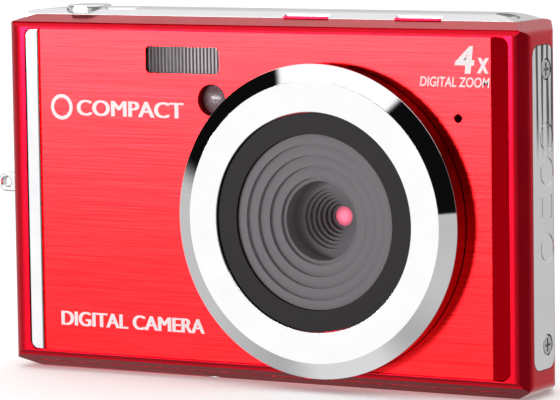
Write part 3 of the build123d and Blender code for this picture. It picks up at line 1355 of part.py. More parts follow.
for name, turn in NAV_KEYS.items():
    outward = (cos(radians(turn)), 0, sin(radians(turn)))
    nav_plane = Plane(origin=(NAV_X, KEY_FACE, NAV_Z), x_dir=outward, z_dir=(0, -1, 0))
    with BuildPart() as key:
        with BuildSketch(nav_plane):
            Circle(NAV_OUTER)
            Circle(NAV_INNER, mode=Mode.SUBTRACT)
            Rectangle(NAV_OUTER, 2 * NAV_OUTER, align=(Align.MAX, Align.CENTER), mode=Mode.SUBTRACT)
            for tilt in (45, -45):
                with Locations(Location((0, 0, 0), tilt)):
                    beyond = (Align.MIN, Align.MIN if tilt > 0 else Align.MAX)
                    Rectangle(2 * NAV_OUTER, 4 * NAV_OUTER, align=beyond, mode=Mode.SUBTRACT)
                    Rectangle(2 * NAV_OUTER, NAV_GAP, align=(Align.MIN, Align.CENTER), mode=Mode.SUBTRACT)
        extrude(amount=KEY_FACE - KEY_FLANGE_FRONT)
        fillet(key.faces().sort_by(Axis.Y)[-1].edges(), KEY_EDGE)
        with BuildSketch(nav_plane.offset(KEY_FACE - KEY_FLANGE_REAR)):
            with Locations((middle(NAV_INNER, NAV_OUTER + FLANGE_LIP), 0)):
                Rectangle(NAV_OUTER + FLANGE_LIP - NAV_INNER, NAV_FLANGE_WIDTH)
        extrude(amount=KEY_FLANGE)
    key.part.label = name
    export_step(key.part, f"parts/{name}.step")

with BuildPart() as ok_button:
    with BuildSketch(at_depth(KEY_FACE)):
        with Locations((NAV_X, NAV_Z)):
            Circle(OK_RADIUS)
    extrude(amount=KEY_FACE - KEY_FLANGE_FRONT)
    fillet(ok_button.faces().sort_by(Axis.Y)[-1].edges(), KEY_EDGE)
    with BuildSketch(at_depth(KEY_FLANGE_REAR)):
        with Locations((NAV_X, NAV_Z)):
            Circle(OK_FLANGE_RADIUS)
    extrude(amount=KEY_FLANGE)
ok_button.part.label = "ok_button"
export_step(ok_button.part, "parts/ok_button.step")

# ---------------------------------------------------------------- zoom rocker
ZOOM_CAP_FRONT = 7.7
ZOOM_PLUNGER_X = 6.0
ZOOM_PLUNGER_FRONT = 6.3
ZOOM_PLUNGER_WIDTH = 1.2
ZOOM_FACE = KEY_FACE + 0.2
ZOOM_EDGE = 0.3
ZOOM_HUB_RADIUS = 1.0
ZOOM_HUB_WIDTH = 1.6

with BuildPart() as zoom_rocker:
    with BuildSketch(at_depth(ZOOM_FACE)):
        with Locations((ZOOM_X, ZOOM_Z)):
            RectangleRounded(ZOOM_WIDTH, ZOOM_HEIGHT, ZOOM_CORNER)
    extrude(amount=ZOOM_FACE - ZOOM_CAP_FRONT)
    fillet(zoom_rocker.faces().sort_by(Axis.Y)[-1].edges(), ZOOM_EDGE)
    # hub round the pivot pin
    with BuildSketch(at_height(ZOOM_Z - ZOOM_HEIGHT / 2)):
        with Locations((ZOOM_X, ZOOM_PIVOT_Y)):
            Circle(ZOOM_HUB_RADIUS)
        with Locations((ZOOM_X, middle(ZOOM_PIVOT_Y, ZOOM_CAP_FRONT))):
            Rectangle(ZOOM_HUB_WIDTH, ZOOM_CAP_FRONT - ZOOM_PIVOT_Y)
        with Locations((ZOOM_X - ZOOM_PLUNGER_X, 0), (ZOOM_X + ZOOM_PLUNGER_X, 0)):
            with Locations((0, middle(ZOOM_PLUNGER_FRONT, ZOOM_CAP_FRONT))):
                Rectangle(ZOOM_PLUNGER_WIDTH, ZOOM_CAP_FRONT - ZOOM_PLUNGER_FRONT)
    extrude(amount=ZOOM_HEIGHT)
    with BuildSketch(at_height(ZOOM_Z - ZOOM_HEIGHT)):
        with Locations((ZOOM_X, ZOOM_PIVOT_Y)):
            Circle(ZOOM_PIN_RADIUS + PIN_GAP)
    extrude(amount=2 * ZOOM_HEIGHT, mode=Mode.SUBTRACT)
zoom_rocker.part.label = "zoom_rocker"
export_step(zoom_rocker.part, "parts/zoom_rocker.step")

ZOOM_PIN_LENGTH = 2 * (ZOOM_LUG_OFFSET + ZOOM_LUG_WIDTH)
with BuildPart() as zoom_pin:
    with BuildSketch(at_height(ZOOM_Z - ZOOM_PIN_LENGTH / 2)):
        with Locations((ZOOM_X, ZOOM_PIVOT_Y)):
            Circle(ZOOM_PIN_RADIUS)
    extrude(amount=ZOOM_PIN_LENGTH)
zoom_pin.part.label = "zoom_pin"
export_step(zoom_pin.part, "parts/zoom_pin.step")

# ---------------------------------------------------------------- boards and sockets
KEY_BOARD_FRONT = 4.6
KEY_BOARD_REAR = 5.2
DOME_TOP = 5.7
DOME_RADIUS = 1.9
NAV_DOME_RADIUS = 7.8
KEY_BOARD_X = -30.6
KEY_BOARD_WIDTH = 25.0
KEY_BOARD_HEIGHT = 50.0

with BuildPart() as key_board:
    with BuildSketch(at_depth(KEY_BOARD_REAR)):
        with Locations((KEY_BOARD_X, WINDOW_Z)):
            Rectangle(KEY_BOARD_WIDTH, KEY_BOARD_HEIGHT)
    extrude(amount=KEY_BOARD_REAR - KEY_BOARD_FRONT)
    # dome switches under the keys
    with BuildSketch(at_depth(DOME_TOP)):
        with Locations(*SMALL_KEYS.values(), (NAV_X, NAV_Z)):
            Circle(DOME_RADIUS)
        with Locations((ZOOM_X - ZOOM_PLUNGER_X, ZOOM_Z), (ZOOM_X + ZOOM_PLUNGER_X, ZOOM_Z)):
            Circle(DOME_RADIUS)
        with Locations((NAV_X, NAV_Z)):
            with PolarLocations(NAV_DOME_RADIUS, 4):
                Circle(DOME_RADIUS)
    extrude(amount=DOME_TOP - KEY_BOARD_REAR)
key_board.part.label = "key_board"
export_step(key_board.part, "parts/key_board.step")

MAIN_BOARD_FRONT = 3.0
MAIN_BOARD_REAR = 4.0
MAIN_BOARD_LEFT = -8.0
MAIN_BOARD_RIGHT = 43.6
MAIN_BOARD_BOTTOM = 6.6
MAIN_BOARD_TOP = 56.0
MAIN_TONGUE_X = 27.2
MAIN_TONGUE_WIDTH = 20.0
MAIN_TONGUE_BOTTOM = 2.0
CHIP_HEIGHT = 0.9
CHIPS = [
    # x, z, width and height of each
    (35.5, 27.0, 12.0, 12.0),
    (35.5, 44.0, 8.0, 11.0),
    (6.0, 51.5, 9.0, 3.0),
    (20.0, 51.5, 9.0, 3.0),
]
with BuildPart() as main_board:
    with BuildSketch(at_depth(MAIN_BOARD_REAR)):
        with Locations((middle(MAIN_BOARD_LEFT, MAIN_BOARD_RIGHT), middle(MAIN_BOARD_BOTTOM, MAIN_BOARD_TOP))):
            Rectangle(MAIN_BOARD_RIGHT - MAIN_BOARD_LEFT, MAIN_BOARD_TOP - MAIN_BOARD_BOTTOM)
        with Locations((MAIN_TONGUE_X, MAIN_TONGUE_BOTTOM)):
            Rectangle(MAIN_TONGUE_WIDTH, MAIN_BOARD_BOTTOM, align=(Align.CENTER, Align.MIN))
    extrude(amount=MAIN_BOARD_REAR - MAIN_BOARD_FRONT)
    # processor, memory and connectors
    with BuildSketch(at_depth(MAIN_BOARD_FRONT)):
        for x, z, width, height in CHIPS:
            with Locations((x, z)):
                Rectangle(width, height)
    extrude(amount=CHIP_HEIGHT)
main_board.part.label = "main_board"
export_step(main_board.part, "parts/main_board.step")

USB_MOUTH = 0.3
USB_TOP = 5.5
USB_SHELL_Y = 1.65
USB_SHELL_THICKNESS = 2.5
USB_SHELL_CORNER = 0.7
USB_SHEET = 0.35
USB_BACK = 0.5
TONGUE_Y = 1.4
TONGUE_BOTTOM = 0.8
TONGUE_WIDTH = 4.6
TONGUE_THICKNESS = 0.6
with BuildPart() as usb_socket:
    with BuildSketch(at_height(USB_MOUTH)):
        with Locations((USB_X, USB_SHELL_Y)):
            RectangleRounded(USB_WIDTH, USB_SHELL_THICKNESS, USB_SHELL_CORNER)
            RectangleRounded(
                USB_WIDTH - 2 * USB_SHEET,
                USB_SHELL_THICKNESS - 2 * USB_SHEET,
                USB_SHELL_CORNER - USB_SHEET,
                mode=Mode.SUBTRACT,
            )
    extrude(amount=USB_TOP - USB_MOUTH)
    with BuildSketch(at_height(TONGUE_BOTTOM)):
        with Locations((USB_X, TONGUE_Y)):
            Rectangle(TONGUE_WIDTH, TONGUE_THICKNESS)
    extrude(amount=USB_TOP - TONGUE_BOTTOM)
    with BuildSketch(at_height(USB_TOP - USB_BACK)):
        with Locations((USB_X, USB_SHELL_Y)):
            Rectangle(USB_WIDTH - USB_SHEET, USB_SHELL_THICKNESS - USB_SHEET)
    extrude(amount=USB_BACK)
usb_socket.part.label = "usb_socket"
export_step(usb_socket.part, "parts/usb_socket.step")

with BuildPart() as speaker:
    with BuildSketch(at_height(WALL)):
        with Locations((SPEAKER_X, SPEAKER_Y)):
            Circle(SPEAKER_RADIUS)
    extrude(amount=SPEAKER_LENGTH)
    with BuildSketch(at_height(WALL)):
        with Locations((SPEAKER_X, SPEAKER_Y)):
            Circle(SPEAKER_RADIUS - SPEAKER_RIM)
    extrude(amount=SPEAKER_DISH, mode=Mode.SUBTRACT)
speaker.part.label = "speaker"
export_step(speaker.part, "parts/speaker.step")

with BuildPart() as tripod_socket:
    with BuildSketch(Plane.XY):
        Circle(SOCKET_RADIUS - PRESS_GAP)
        Circle(SOCKET_BORE, mode=Mode.SUBTRACT)
    extrude(amount=SOCKET_DEPTH)
    with BuildSketch(at_height(SOCKET_DEPTH)):
        Circle(SOCKET_RADIUS - PRESS_GAP)
    extrude(amount=SOCKET_CAP)
    with BuildSketch(at_height(WALL)):
        Circle(SOCKET_RADIUS + SOCKET_FLANGE_LIP)
        Circle(SOCKET_BORE, mode=Mode.SUBTRACT)
    extrude(amount=SOCKET_FLANGE)
tripod_socket.part.label = "tripod_socket"
export_step(tripod_socket.part, "parts/tripod_socket.step")

# ---------------------------------------------------------------- battery, its bay and contacts
BATTERY_LEFT = -42.0
BATTERY_RIGHT = -11.0
BATTERY_FRONT = -3.95
BATTERY_REAR = 1.05
BATTERY_BOTTOM = 3.2
BATTERY_TOP = 43.0
BATTERY_CORNER = 1.2
CONTACT_X = -37.0
CONTACT_PITCH = 3.0
CONTACTS = 3
PAD_WIDTH = 2.0
PAD_LENGTH = 2.4
PAD_DEPTH = 0.4
CONTACT_WIDTH = 0.8
CONTACT_LENGTH = 1.6
CONTACT_HEIGHT = 1.5
CONTACT_REACH = 0.3  # by which the contacts enter the battery's recesses
BAY_WALL = 0.5
BAY_GAP = 0.2
BAY_BOTTOM = 3.4
BAY_TOP = 45.0
BAY_ROOF = 0.8
CARD_WIDTH = 24.4
CARD_THICKNESS = 2.1
CARD_BODY_FRONT = 1.8
CARD_BODY_REAR = 4.4
CARD_X = -27.0
CARD_TOP = 35.0
CARD_SHEET = 0.5
CARD_ROOF = 0.6

with BuildPart() as battery:
    with BuildSketch(at_height(BATTERY_BOTTOM)):
        with Locations((middle(BATTERY_LEFT, BATTERY_RIGHT), middle(BATTERY_FRONT, BATTERY_REAR))):
            RectangleRounded(BATTERY_RIGHT - BATTERY_LEFT, BATTERY_REAR - BATTERY_FRONT, BATTERY_CORNER)
    extrude(amount=BATTERY_TOP - BATTERY_BOTTOM)
    with BuildSketch(at_height(BATTERY_TOP)):
        with Locations((CONTACT_X, middle(BATTERY_FRONT, BATTERY_REAR))):
            with GridLocations(CONTACT_PITCH, 0, CONTACTS, 1):
                Rectangle(PAD_WIDTH, PAD_LENGTH)
    extrude(amount=-PAD_DEPTH, mode=Mode.SUBTRACT)
battery.part.label = "battery"
export_step(battery.part, "parts/battery.step")

with BuildPart() as battery_bay:
    with BuildSketch(at_height(BAY_BOTTOM)):
        with Locations((middle(BATTERY_LEFT, BATTERY_RIGHT), middle(BATTERY_FRONT, BATTERY_REAR))):
            bay_width = BATTERY_RIGHT - BATTERY_LEFT + 2 * BAY_GAP
            bay_depth = BATTERY_REAR - BATTERY_FRONT + 2 * BAY_GAP
            Rectangle(bay_width + 2 * BAY_WALL, bay_depth + 2 * BAY_WALL)
            Rectangle(bay_width, bay_depth, mode=Mode.SUBTRACT)
    extrude(amount=BAY_TOP - BAY_BOTTOM)
    with BuildSketch(at_height(BAY_TOP - BAY_ROOF)):
        with Locations((middle(BATTERY_LEFT, BATTERY_RIGHT), middle(BATTERY_FRONT, BATTERY_REAR))):
            Rectangle(bay_width + BAY_WALL, bay_depth + BAY_WALL)
    extrude(amount=BAY_ROOF)
battery_bay.part.label = "battery_bay"
export_step(battery_bay.part, "parts/battery_bay.step")

with BuildPart() as battery_contacts:
    with BuildSketch(at_height(BATTERY_TOP - CONTACT_REACH)):
        with Locations((CONTACT_X, middle(BATTERY_FRONT, BATTERY_REAR))):
            with GridLocations(CONTACT_PITCH, 0, CONTACTS, 1):
                Rectangle(CONTACT_WIDTH, CONTACT_LENGTH)
    extrude(amount=CONTACT_HEIGHT)
battery_contacts.part.label = "battery_contacts"
export_step(battery_contacts.part, "parts/battery_contacts.step")

with BuildPart() as card_socket:
    with BuildSketch(at_height(BAY_BOTTOM)):
        with Locations((CARD_X, middle(CARD_BODY_FRONT, CARD_BODY_REAR))):
            Rectangle(CARD_WIDTH + 2 * CARD_SHEET, CARD_BODY_REAR - CARD_BODY_FRONT)
            Rectangle(CARD_WIDTH, CARD_THICKNESS, mode=Mode.SUBTRACT)
    extrude(amount=CARD_TOP - BAY_BOTTOM)
    with BuildSketch(at_height(CARD_TOP - CARD_ROOF)):
        with Locations((CARD_X, middle(CARD_BODY_FRONT, CARD_BODY_REAR))):
            Rectangle(CARD_WIDTH + CARD_SHEET, CARD_THICKNESS + OVERLAP)
    extrude(amount=CARD_ROOF)
card_socket.part.label = "card_socket"
export_step(card_socket.part, "parts/card_socket.step")

# ---------------------------------------------------------------- battery latch
LATCH_FRONT = -2.4
LATCH_REAR = -0.4
LATCH_TIP = -41.2
LATCH_OUTER = -43.5
LATCH_BOTTOM = 2.1
LATCH_TONGUE = 0.85
LATCH_PLATE = 0.6
LATCH_HEIGHT = 3.9

with BuildPart() as battery_latch:
    with BuildSketch(at_depth(LATCH_REAR)):
        with Locations((LATCH_OUTER, LATCH_BOTTOM)):
            Rectangle(LATCH_TIP - LATCH_OUTER, LATCH_TONGUE, align=(Align.MIN, Align.MIN))
            Rectangle(LATCH_PLATE, LATCH_HEIGHT, align=(Align.MIN, Align.MIN))
    extrude(amount=LATCH_REAR - LATCH_FRONT)
battery_latch.part.label = "battery_latch"
export_step(battery_latch.part, "parts/battery_latch.step")

# ---------------------------------------------------------------- battery door and its sliding hinge
KNUCKLE_FRONT = -3.2
KNUCKLE_REAR = 3.1
EAR_GAP = 0.1
EAR_FRONT = -4.3
EAR_REAR = 4.2
EARS = [(KNUCKLE_FRONT - EAR_GAP, EAR_FRONT), (EAR_REAR, KNUCKLE_REAR + EAR_GAP)]
CARRIAGE_BOTTOM = 1.95
CARRIAGE_TOP = 2.7
CARRIAGE_LEFT = -12.4
CARRIAGE_RIGHT = -5.2
DOOR_BODY_RIGHT = -12.05
KNUCKLE_WEB = 0.5  # by which the knuckle's web reaches into the door
HOOKS = (-38.0, -22.0)
HOOK_LENGTH = 3.0
HOOK_WIDTH = 0.8
HOOK_HEIGHT = 0.55

with BuildPart() as battery_door:
    add(body_block.part)
    with BuildSketch(at_depth(DOOR_REAR)):
        with Locations((DOOR_BODY_RIGHT, 0)):
            Rectangle(HALF_WIDTH, DOOR_THICKNESS, align=(Align.MAX, Align.MIN))
        with Locations((DOOR_END_INSIDE, 0)):
            Rectangle(HALF_WIDTH, DOOR_END_TOP, align=(Align.MAX, Align.MIN))
    extrude(amount=DOOR_REAR - DOOR_FRONT, mode=Mode.INTERSECT)
    # knuckle round the hinge pin
    with BuildSketch(at_depth(KNUCKLE_REAR)):
        with Locations((HINGE_X, HINGE_Z)):
            Circle(HINGE_RADIUS)
        with Locations((HINGE_X, 0)):
            web_length = HINGE_X - DOOR_BODY_RIGHT + KNUCKLE_WEB
            Rectangle(web_length, DOOR_THICKNESS, align=(Align.MAX, Align.MIN))
    extrude(amount=KNUCKLE_REAR - KNUCKLE_FRONT)
    with BuildSketch(at_depth(DOOR_REAR)):
        with Locations((HINGE_X, HINGE_Z)):
            Circle(PIN_RADIUS + PIN_GAP)
    extrude(amount=DOOR_REAR - DOOR_FRONT, mode=Mode.SUBTRACT)
    # hooks that hold the door while it is shut
    with BuildSketch(at_height(DOOR_THICKNESS)):
        for x in HOOKS:
            with Locations((x, DOOR_FRONT + HOOK_WIDTH / 2), (x, DOOR_REAR - HOOK_WIDTH / 2)):
                Rectangle(HOOK_LENGTH, HOOK_WIDTH)
    extrude(amount=HOOK_HEIGHT)
battery_door.part.label = "battery_door"
export_step(battery_door.part, "parts/battery_door.step")

with BuildPart() as door_carriage:
    with BuildSketch(at_height(CARRIAGE_BOTTOM)):
        with Locations((middle(CARRIAGE_LEFT, CARRIAGE_RIGHT), middle(EAR_FRONT, EAR_REAR))):
            Rectangle(CARRIAGE_RIGHT - CARRIAGE_LEFT, EAR_REAR - EAR_FRONT)
    extrude(amount=CARRIAGE_TOP - CARRIAGE_BOTTOM)
    for ear_rear, ear_front in EARS:
        with BuildSketch(at_depth(ear_rear)):
            with Locations((HINGE_X, HINGE_Z)):
                Circle(HINGE_RADIUS)
            with Locations((HINGE_X, middle(HINGE_Z, CARRIAGE_TOP))):
                Rectangle(2 * HINGE_RADIUS, CARRIAGE_TOP - HINGE_Z)
        extrude(amount=ear_rear - ear_front)
    with BuildSketch(at_depth(EAR_REAR)):
        with Locations((HINGE_X, HINGE_Z)):
            Circle(PIN_RADIUS)
    extrude(amount=EAR_REAR - EAR_FRONT, mode=Mode.SUBTRACT)
door_carriage.part.label = "door_carriage"
export_step(door_carriage.part, "parts/door_carriage.step")

with BuildPart() as door_pin:
    with BuildSketch(at_depth(EAR_REAR)):
        with Locations((HINGE_X, HINGE_Z)):
            Circle(PIN_RADIUS)
    extrude(amount=EAR_REAR - EAR_FRONT)
door_pin.part.label = "door_pin"
export_step(door_pin.part, "parts/door_pin.step")
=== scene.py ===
import json
from math import cos, pi, radians, sin

import bmesh
import bpy
from bpy.props import FloatProperty, FloatVectorProperty, PointerProperty, StringProperty
from bpy.types import Operator, Panel, PropertyGroup
from mathutils import Matrix, Vector


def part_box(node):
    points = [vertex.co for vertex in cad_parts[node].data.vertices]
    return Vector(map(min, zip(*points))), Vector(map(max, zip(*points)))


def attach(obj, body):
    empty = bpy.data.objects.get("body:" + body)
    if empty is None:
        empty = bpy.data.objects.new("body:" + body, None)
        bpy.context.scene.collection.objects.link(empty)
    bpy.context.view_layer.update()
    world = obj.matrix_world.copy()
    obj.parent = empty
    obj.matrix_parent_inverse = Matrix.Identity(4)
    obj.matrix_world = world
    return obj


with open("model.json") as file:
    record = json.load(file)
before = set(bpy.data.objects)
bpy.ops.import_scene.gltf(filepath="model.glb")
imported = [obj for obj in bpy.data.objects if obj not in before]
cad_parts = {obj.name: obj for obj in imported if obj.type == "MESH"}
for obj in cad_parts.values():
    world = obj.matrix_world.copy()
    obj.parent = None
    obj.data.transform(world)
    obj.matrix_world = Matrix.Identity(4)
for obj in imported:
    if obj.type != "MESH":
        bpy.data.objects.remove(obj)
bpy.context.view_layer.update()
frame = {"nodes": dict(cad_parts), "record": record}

bl_info = {
    "name": "Compact Digital Camera",
    "version": (1, 0, 0),
    "blender": (4, 5, 0),
    "location": "View3D > Sidebar > Camera",
    "description": "Finishes, printing and small parts for a slim pocket camera",
    "category": "Object",
}

NODES = frame["nodes"]
RECORD = frame["record"]
MM = 0.001


def low(node):
    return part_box(node)[0]


def high(node):
    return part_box(node)[1]


def centre(node):
    return (low(node) + high(node)) / 2


LENS = centre("lens_bezel")
PLATE_FRONT = low("face_plate").y

# places and sizes of patterns in the finishes, in the frame's own axes
PLATE_BEND = (41.6 * MM, 41.9 * MM)  # X where the face plate's brushing ends and its painted shade on the bent edge begins
STREAKS_RISE = (36 * MM, 45 * MM)  # Z over which the right side plate's painted reflection streaks set in
STREAKS_EDGE = (-5.4 * MM, -5.0 * MM)  # Y where they begin
BAFFLE_SHADE_SPAN = (-11 * MM, -4 * MM)  # Y over which painted shade darkens the baffles
COATING_RADIUS = 1.6 * MM  # radius by which the lens glass has darkened towards its rim and its painted glow has faded
RIB_PITCH = 0.66 * MM  # of the flash window's ribs and their painted highlights and shade
PICTURE_HALF_WIDTH = 25.0 * MM  # of the display's picture area
PICTURE_HALF_HEIGHT = 19.0 * MM
PICTURE_EDGE = 0.3 * MM  # over which it meets its black border
BATTERY_BAND = 9 * MM  # half the height of the battery's pale band
CAPACITOR_STRIPE = 1.0 * MM  # half the width of the capacitor's pale stripe
SLEEVE_EDGE = 0.15 * MM  # over which band and stripe end


# ---------------------------------------------------------------- sizes and colours
class CasingLook(PropertyGroup):
    paint: FloatVectorProperty(
        name="Paint", description="Colour of the painted casing",
        subtype="COLOR", size=3, min=0, max=1, default=(0.62, 0.001, 0.014))
    anodised: FloatVectorProperty(
        name="Anodised", description="Colour of the brushed face plate",
        subtype="COLOR", size=3, min=0, max=1, default=(0.92, 0.0155, 0.0195))
    silver: FloatVectorProperty(
        name="Silver", description="Colour of the silver plastic",
        subtype="COLOR", size=3, min=0, max=1, default=(0.72, 0.72, 0.735))
    brush_width: FloatProperty(
        name="Brush width", description="Width of one brushed line", unit="LENGTH", subtype="DISTANCE",
        default=0.2 * MM, min=0.02 * MM, max=2 * MM)
    flake: FloatProperty(
        name="Flake", description="Size of the flakes in the paint", unit="LENGTH", subtype="DISTANCE",
        default=0.05 * MM, min=0.01 * MM, max=1 * MM)


class PrintLook(PropertyGroup):
    ink: FloatVectorProperty(
        name="Ink", description="Colour of the printing on the face plate",
        subtype="COLOR", size=3, min=0, max=1, default=(0.74, 0.68, 0.69))
    key_ink: FloatVectorProperty(
        name="Key ink", description="Colour of the symbols on the keys",
        subtype="COLOR", size=3, min=0, max=1, default=(0.03, 0.03, 0.035))
    thickness: FloatProperty(
        name="Thickness", description="How far the ink stands proud", unit="LENGTH", subtype="DISTANCE",
        default=0.02 * MM, min=0.002 * MM, max=0.2 * MM)
    upper_words: StringProperty(
        name="Upper words", description="Printed at the upper left", default="COMPACT")
    lower_words: StringProperty(
        name="Lower words", description="Printed at the lower left", default="DIGITAL CAMERA")
    zoom_number: StringProperty(
        name="Zoom", description="Large figure at the upper right", default="4")
    zoom_words: StringProperty(
        name="Zoom words", description="Printed under the figure", default="DIGITAL ZOOM")


class LensLook(PropertyGroup):
    # also the colour of the lens glass's painted glow
    coating: FloatVectorProperty(
        name="Coating", description="Colour that the coated front lens shows",
        subtype="COLOR", size=3, min=0, max=1, default=(1.0, 0.21, 0.33))
    baffle: FloatVectorProperty(
        name="Baffle", description="Colour of the stepped light baffle",
        subtype="COLOR", size=3, min=0, max=1, default=(0.135, 0.12, 0.132))
    ring: FloatVectorProperty(
        name="Ring", description="Colour of the dark ring round the baffle",
        subtype="COLOR", size=3, min=0, max=1, default=(0.006, 0.0035, 0.006))


class StageLook(PropertyGroup):
    floor: FloatVectorProperty(
        name="Floor", description="Colour of the floor",
        subtype="COLOR", size=3, min=0, max=1, default=(0.96, 0.96, 0.96))
    surroundings: FloatProperty(
        name="Surroundings", description="Brightness of the studio round the camera",
        default=1.0, min=0, max=5)
    softbox: FloatProperty(
        name="Softbox", description="Power of the low soft light in front, to the left",
        unit="POWER", default=2.4, min=0, max=50)


# ---------------------------------------------------------------- material maker
class Socket:
    """A node's output, which can stand in an arithmetic expression."""

    def __init__(self, graph, out):
        self.graph = graph
        self.out = out

    def maths(self, operation, first, second=0.0):
        return self.graph.node("ShaderNodeMath", {"operation": operation}, {0: first, 1: second})

    def __add__(self, other):
        return self.maths("ADD", self, other)

    def __sub__(self, other):
        return self.maths("SUBTRACT", self, other)

    def __mul__(self, other):
        return self.maths("MULTIPLY", self, other)

    def __truediv__(self, other):
        return self.maths("DIVIDE", self, other)

    def __pow__(self, other):
        return self.maths("POWER", self, other)

    def __rsub__(self, other):
        return self.maths("SUBTRACT", other, self)

    __radd__ = __add__
    __rmul__ = __mul__

    def wave(self):
        return self.maths("SINE", self)

    def ripples(self, pitch):
        """Waves between 0 and 1 along this value, one to each pitch."""
        return (self * (2 * pi / pitch)).wave() * 0.5 + 0.5

    def size(self):
        return self.maths("ABSOLUTE", self)

    def most(self, other):
        return self.maths("MAXIMUM", self, other)

    def rise(self, start, end):
        """0 before start, 1 after end, and smooth between them."""
        settings = {"interpolation_type": "SMOOTHSTEP"}
        return self.graph.node("ShaderNodeMapRange", settings, {0: self, 1: start, 2: end})

    def between(self, start, end, soft):
        """1 from start to end, and 0 outside, over a soft edge."""
        return self.rise(start - soft, start + soft) * (1 - self.rise(end - soft, end + soft))


class Graph:
    """A node tree under construction."""

    def __init__(self, tree):
        self.tree = tree

    def node(self, kind, settings, inputs, output=0):
        """Adds a node: its settings first, then the values or links of its sockets."""
        node = self.tree.nodes.new(kind)
        for name, value in settings.items():
            if name == "stops":
                ramp = node.color_ramp
                while len(ramp.elements) < len(value):
                    ramp.elements.new(1.0)
                for element, (position, colour) in zip(ramp.elements, value):
                    element.position = position
                    element.color = colour
            else:
                setattr(node, name, value)
        for name, value in inputs.items():
            if isinstance(value, Socket):
                self.tree.links.new(value.out, node.inputs[name])
            else:
                node.inputs[name].default_value = value
        return Socket(self, node.outputs[output])


class Finish(Graph):
    """A material on a Principled shader, with its constants set on the shader's own sockets."""

    def __init__(self, name, **constants):
        self.material = bpy.data.materials.new(name)
        self.material.use_nodes = True
        super().__init__(self.material.node_tree)
        self.shader = next(n for n in self.tree.nodes if n.type == "BSDF_PRINCIPLED")
        for key, value in constants.items():
            self.shader.inputs[key.replace("_", " ")].default_value = value
        self.place = self.node("ShaderNodeTexCoord", {}, {}, "Object")

    def feed(self, **links):
        for name, value in links.items():
            self.tree.links.new(value.out, self.shader.inputs[name.replace("_", " ")])

    def part(self, axis):
        """One Object coordinate, in metres."""
        return self.node("ShaderNodeSeparateXYZ", {}, {0: self.place}, axis)

    def stretched(self, sizes, turn=(0, 0, 0)):
        """Object coordinates in which one unit is sizes long, for a pattern of that grain."""
        scale = tuple(1 / s for s in sizes)
        return self.node("ShaderNodeMapping", {}, {"Vector": self.place, "Rotation": turn, "Scale": scale})

    def noise(self, sizes, detail=2.0, turn=(0, 0, 0)):
        vector = self.stretched(sizes, turn)
        return self.node("ShaderNodeTexNoise", {}, {"Vector": vector, "Scale": 1.0, "Detail": detail})

    def cells(self, size):
        vector = self.stretched((size, size, size))
        return self.node("ShaderNodeTexVoronoi", {}, {"Vector": vector, "Scale": 1.0}, "Color")

    def grey(self, colour):
        return self.node("ShaderNodeRGBToBW", {}, {0: colour})

    def from_axis(self, point, axes):
        """Distance from a line through point, measured along the two named axes."""
        a, b = (self.part(axis) - point["XYZ".index(axis)] for axis in axes)
        return (a * a + b * b) ** 0.5

    def blend(self, mask, first, second):
        """first where mask is 0, second where it is 1."""
        inputs = {0: mask, 6: self.rgba(first), 7: self.rgba(second)}
        return self.node("ShaderNodeMix", {"data_type": "RGBA"}, inputs, 2)

    @staticmethod
    def rgba(colour):
        return colour if isinstance(colour, Socket) else (*colour[:3], 1.0)

    def relief(self, height, depth, normal=None):
        """Bump of the given depth in metres, on top of another normal when there is one."""
        inputs = {"Height": height, "Distance": depth, "Strength": 1.0}
        if normal:
            inputs["Normal"] = normal
        return self.node("ShaderNodeBump", {}, inputs)

    def softened(self, radius):
        """Normal with edges rounded over radius, as tumbling and polishing leave them."""
        return self.node("ShaderNodeBevel", {"samples": 6}, {"Radius": radius})


def scaled(colour, amount):
    return tuple(min(1.0, c * amount) for c in colour[:3])


# ---------------------------------------------------------------- finishes
def casing_paint(look):
    """Deep metallic lacquer: flakes under a clear coat, with a faint orange peel."""
    paint = Finish("casing_paint", Metallic=0.97, Coat_Weight=0.12, Coat_Roughness=0.05, Coat_IOR=1.5)
    flakes = paint.grey(paint.cells(look.flake))
    clouds = paint.noise((9 * MM,) * 3, 3.0)
    tone = flakes * 0.5 + clouds * 0.5
    paint.feed(
        Base_Color=paint.blend(tone, scaled(look.paint, 0.8), scaled(look.paint, 1.35)),
        Roughness=flakes * 0.08 + clouds * 0.06 + 0.12,
        Normal=paint.relief(paint.noise((0.7 * MM,) * 3, 1.0), 0.0006 * MM, paint.softened(0.14 * MM)),
    )
    return paint.material


def brushed_plate(look):
    """Anodised sheet, brushed across its width: long fine lines, plain on the bent right edge, which is
    painted a darker red as painted shade.
    """
    plate = Finish("brushed_plate", Metallic=1.0, Anisotropic=0.7, Anisotropic_Rotation=0.25)
    fine = plate.noise((14 * MM, 5 * MM, look.brush_width), 3.0)
    broad = plate.noise((40 * MM, 9 * MM, look.brush_width * 3), 2.0)
    lines = fine * 0.75 + broad * 0.25
    outside_shaded_bend = 1 - plate.part("X").rise(*PLATE_BEND)
    tone = (lines - 0.5) * 2.2 + 0.5
    brushed = plate.blend(tone, scaled(look.anodised, 0.6), scaled(look.anodised, 1.15))
    plate.feed(
        # Painted shade: the bent right edge is coloured dark red instead of brushed.
        Base_Color=plate.blend(outside_shaded_bend, (0.36, 0.0, 0.004), brushed),
        Roughness=lines * 0.08 * outside_shaded_bend + outside_shaded_bend * 0.04 + 0.12,
        Normal=plate.relief(lines * outside_shaded_bend, 0.012 * MM),
    )
    return plate.material


def chrome_plate():
    """Polished chrome with hairline scratches and the odd dull spot."""
    chrome = Finish("chrome_plate", Metallic=1.0)
    scratches = chrome.noise((3 * MM, 3 * MM, 0.04 * MM), 2.0, (0.3, 0.5, 0.2))
    haze = chrome.noise((6 * MM,) * 3, 3.0)
    chrome.feed(
        Base_Color=chrome.blend(haze, (0.80, 0.80, 0.82), (0.93, 0.93, 0.94)),
        Roughness=haze * 0.05 + scratches * 0.03 + 0.01,
        Normal=chrome.relief(scratches, 0.0004 * MM, chrome.softened(0.1 * MM)),
    )
    return chrome.material


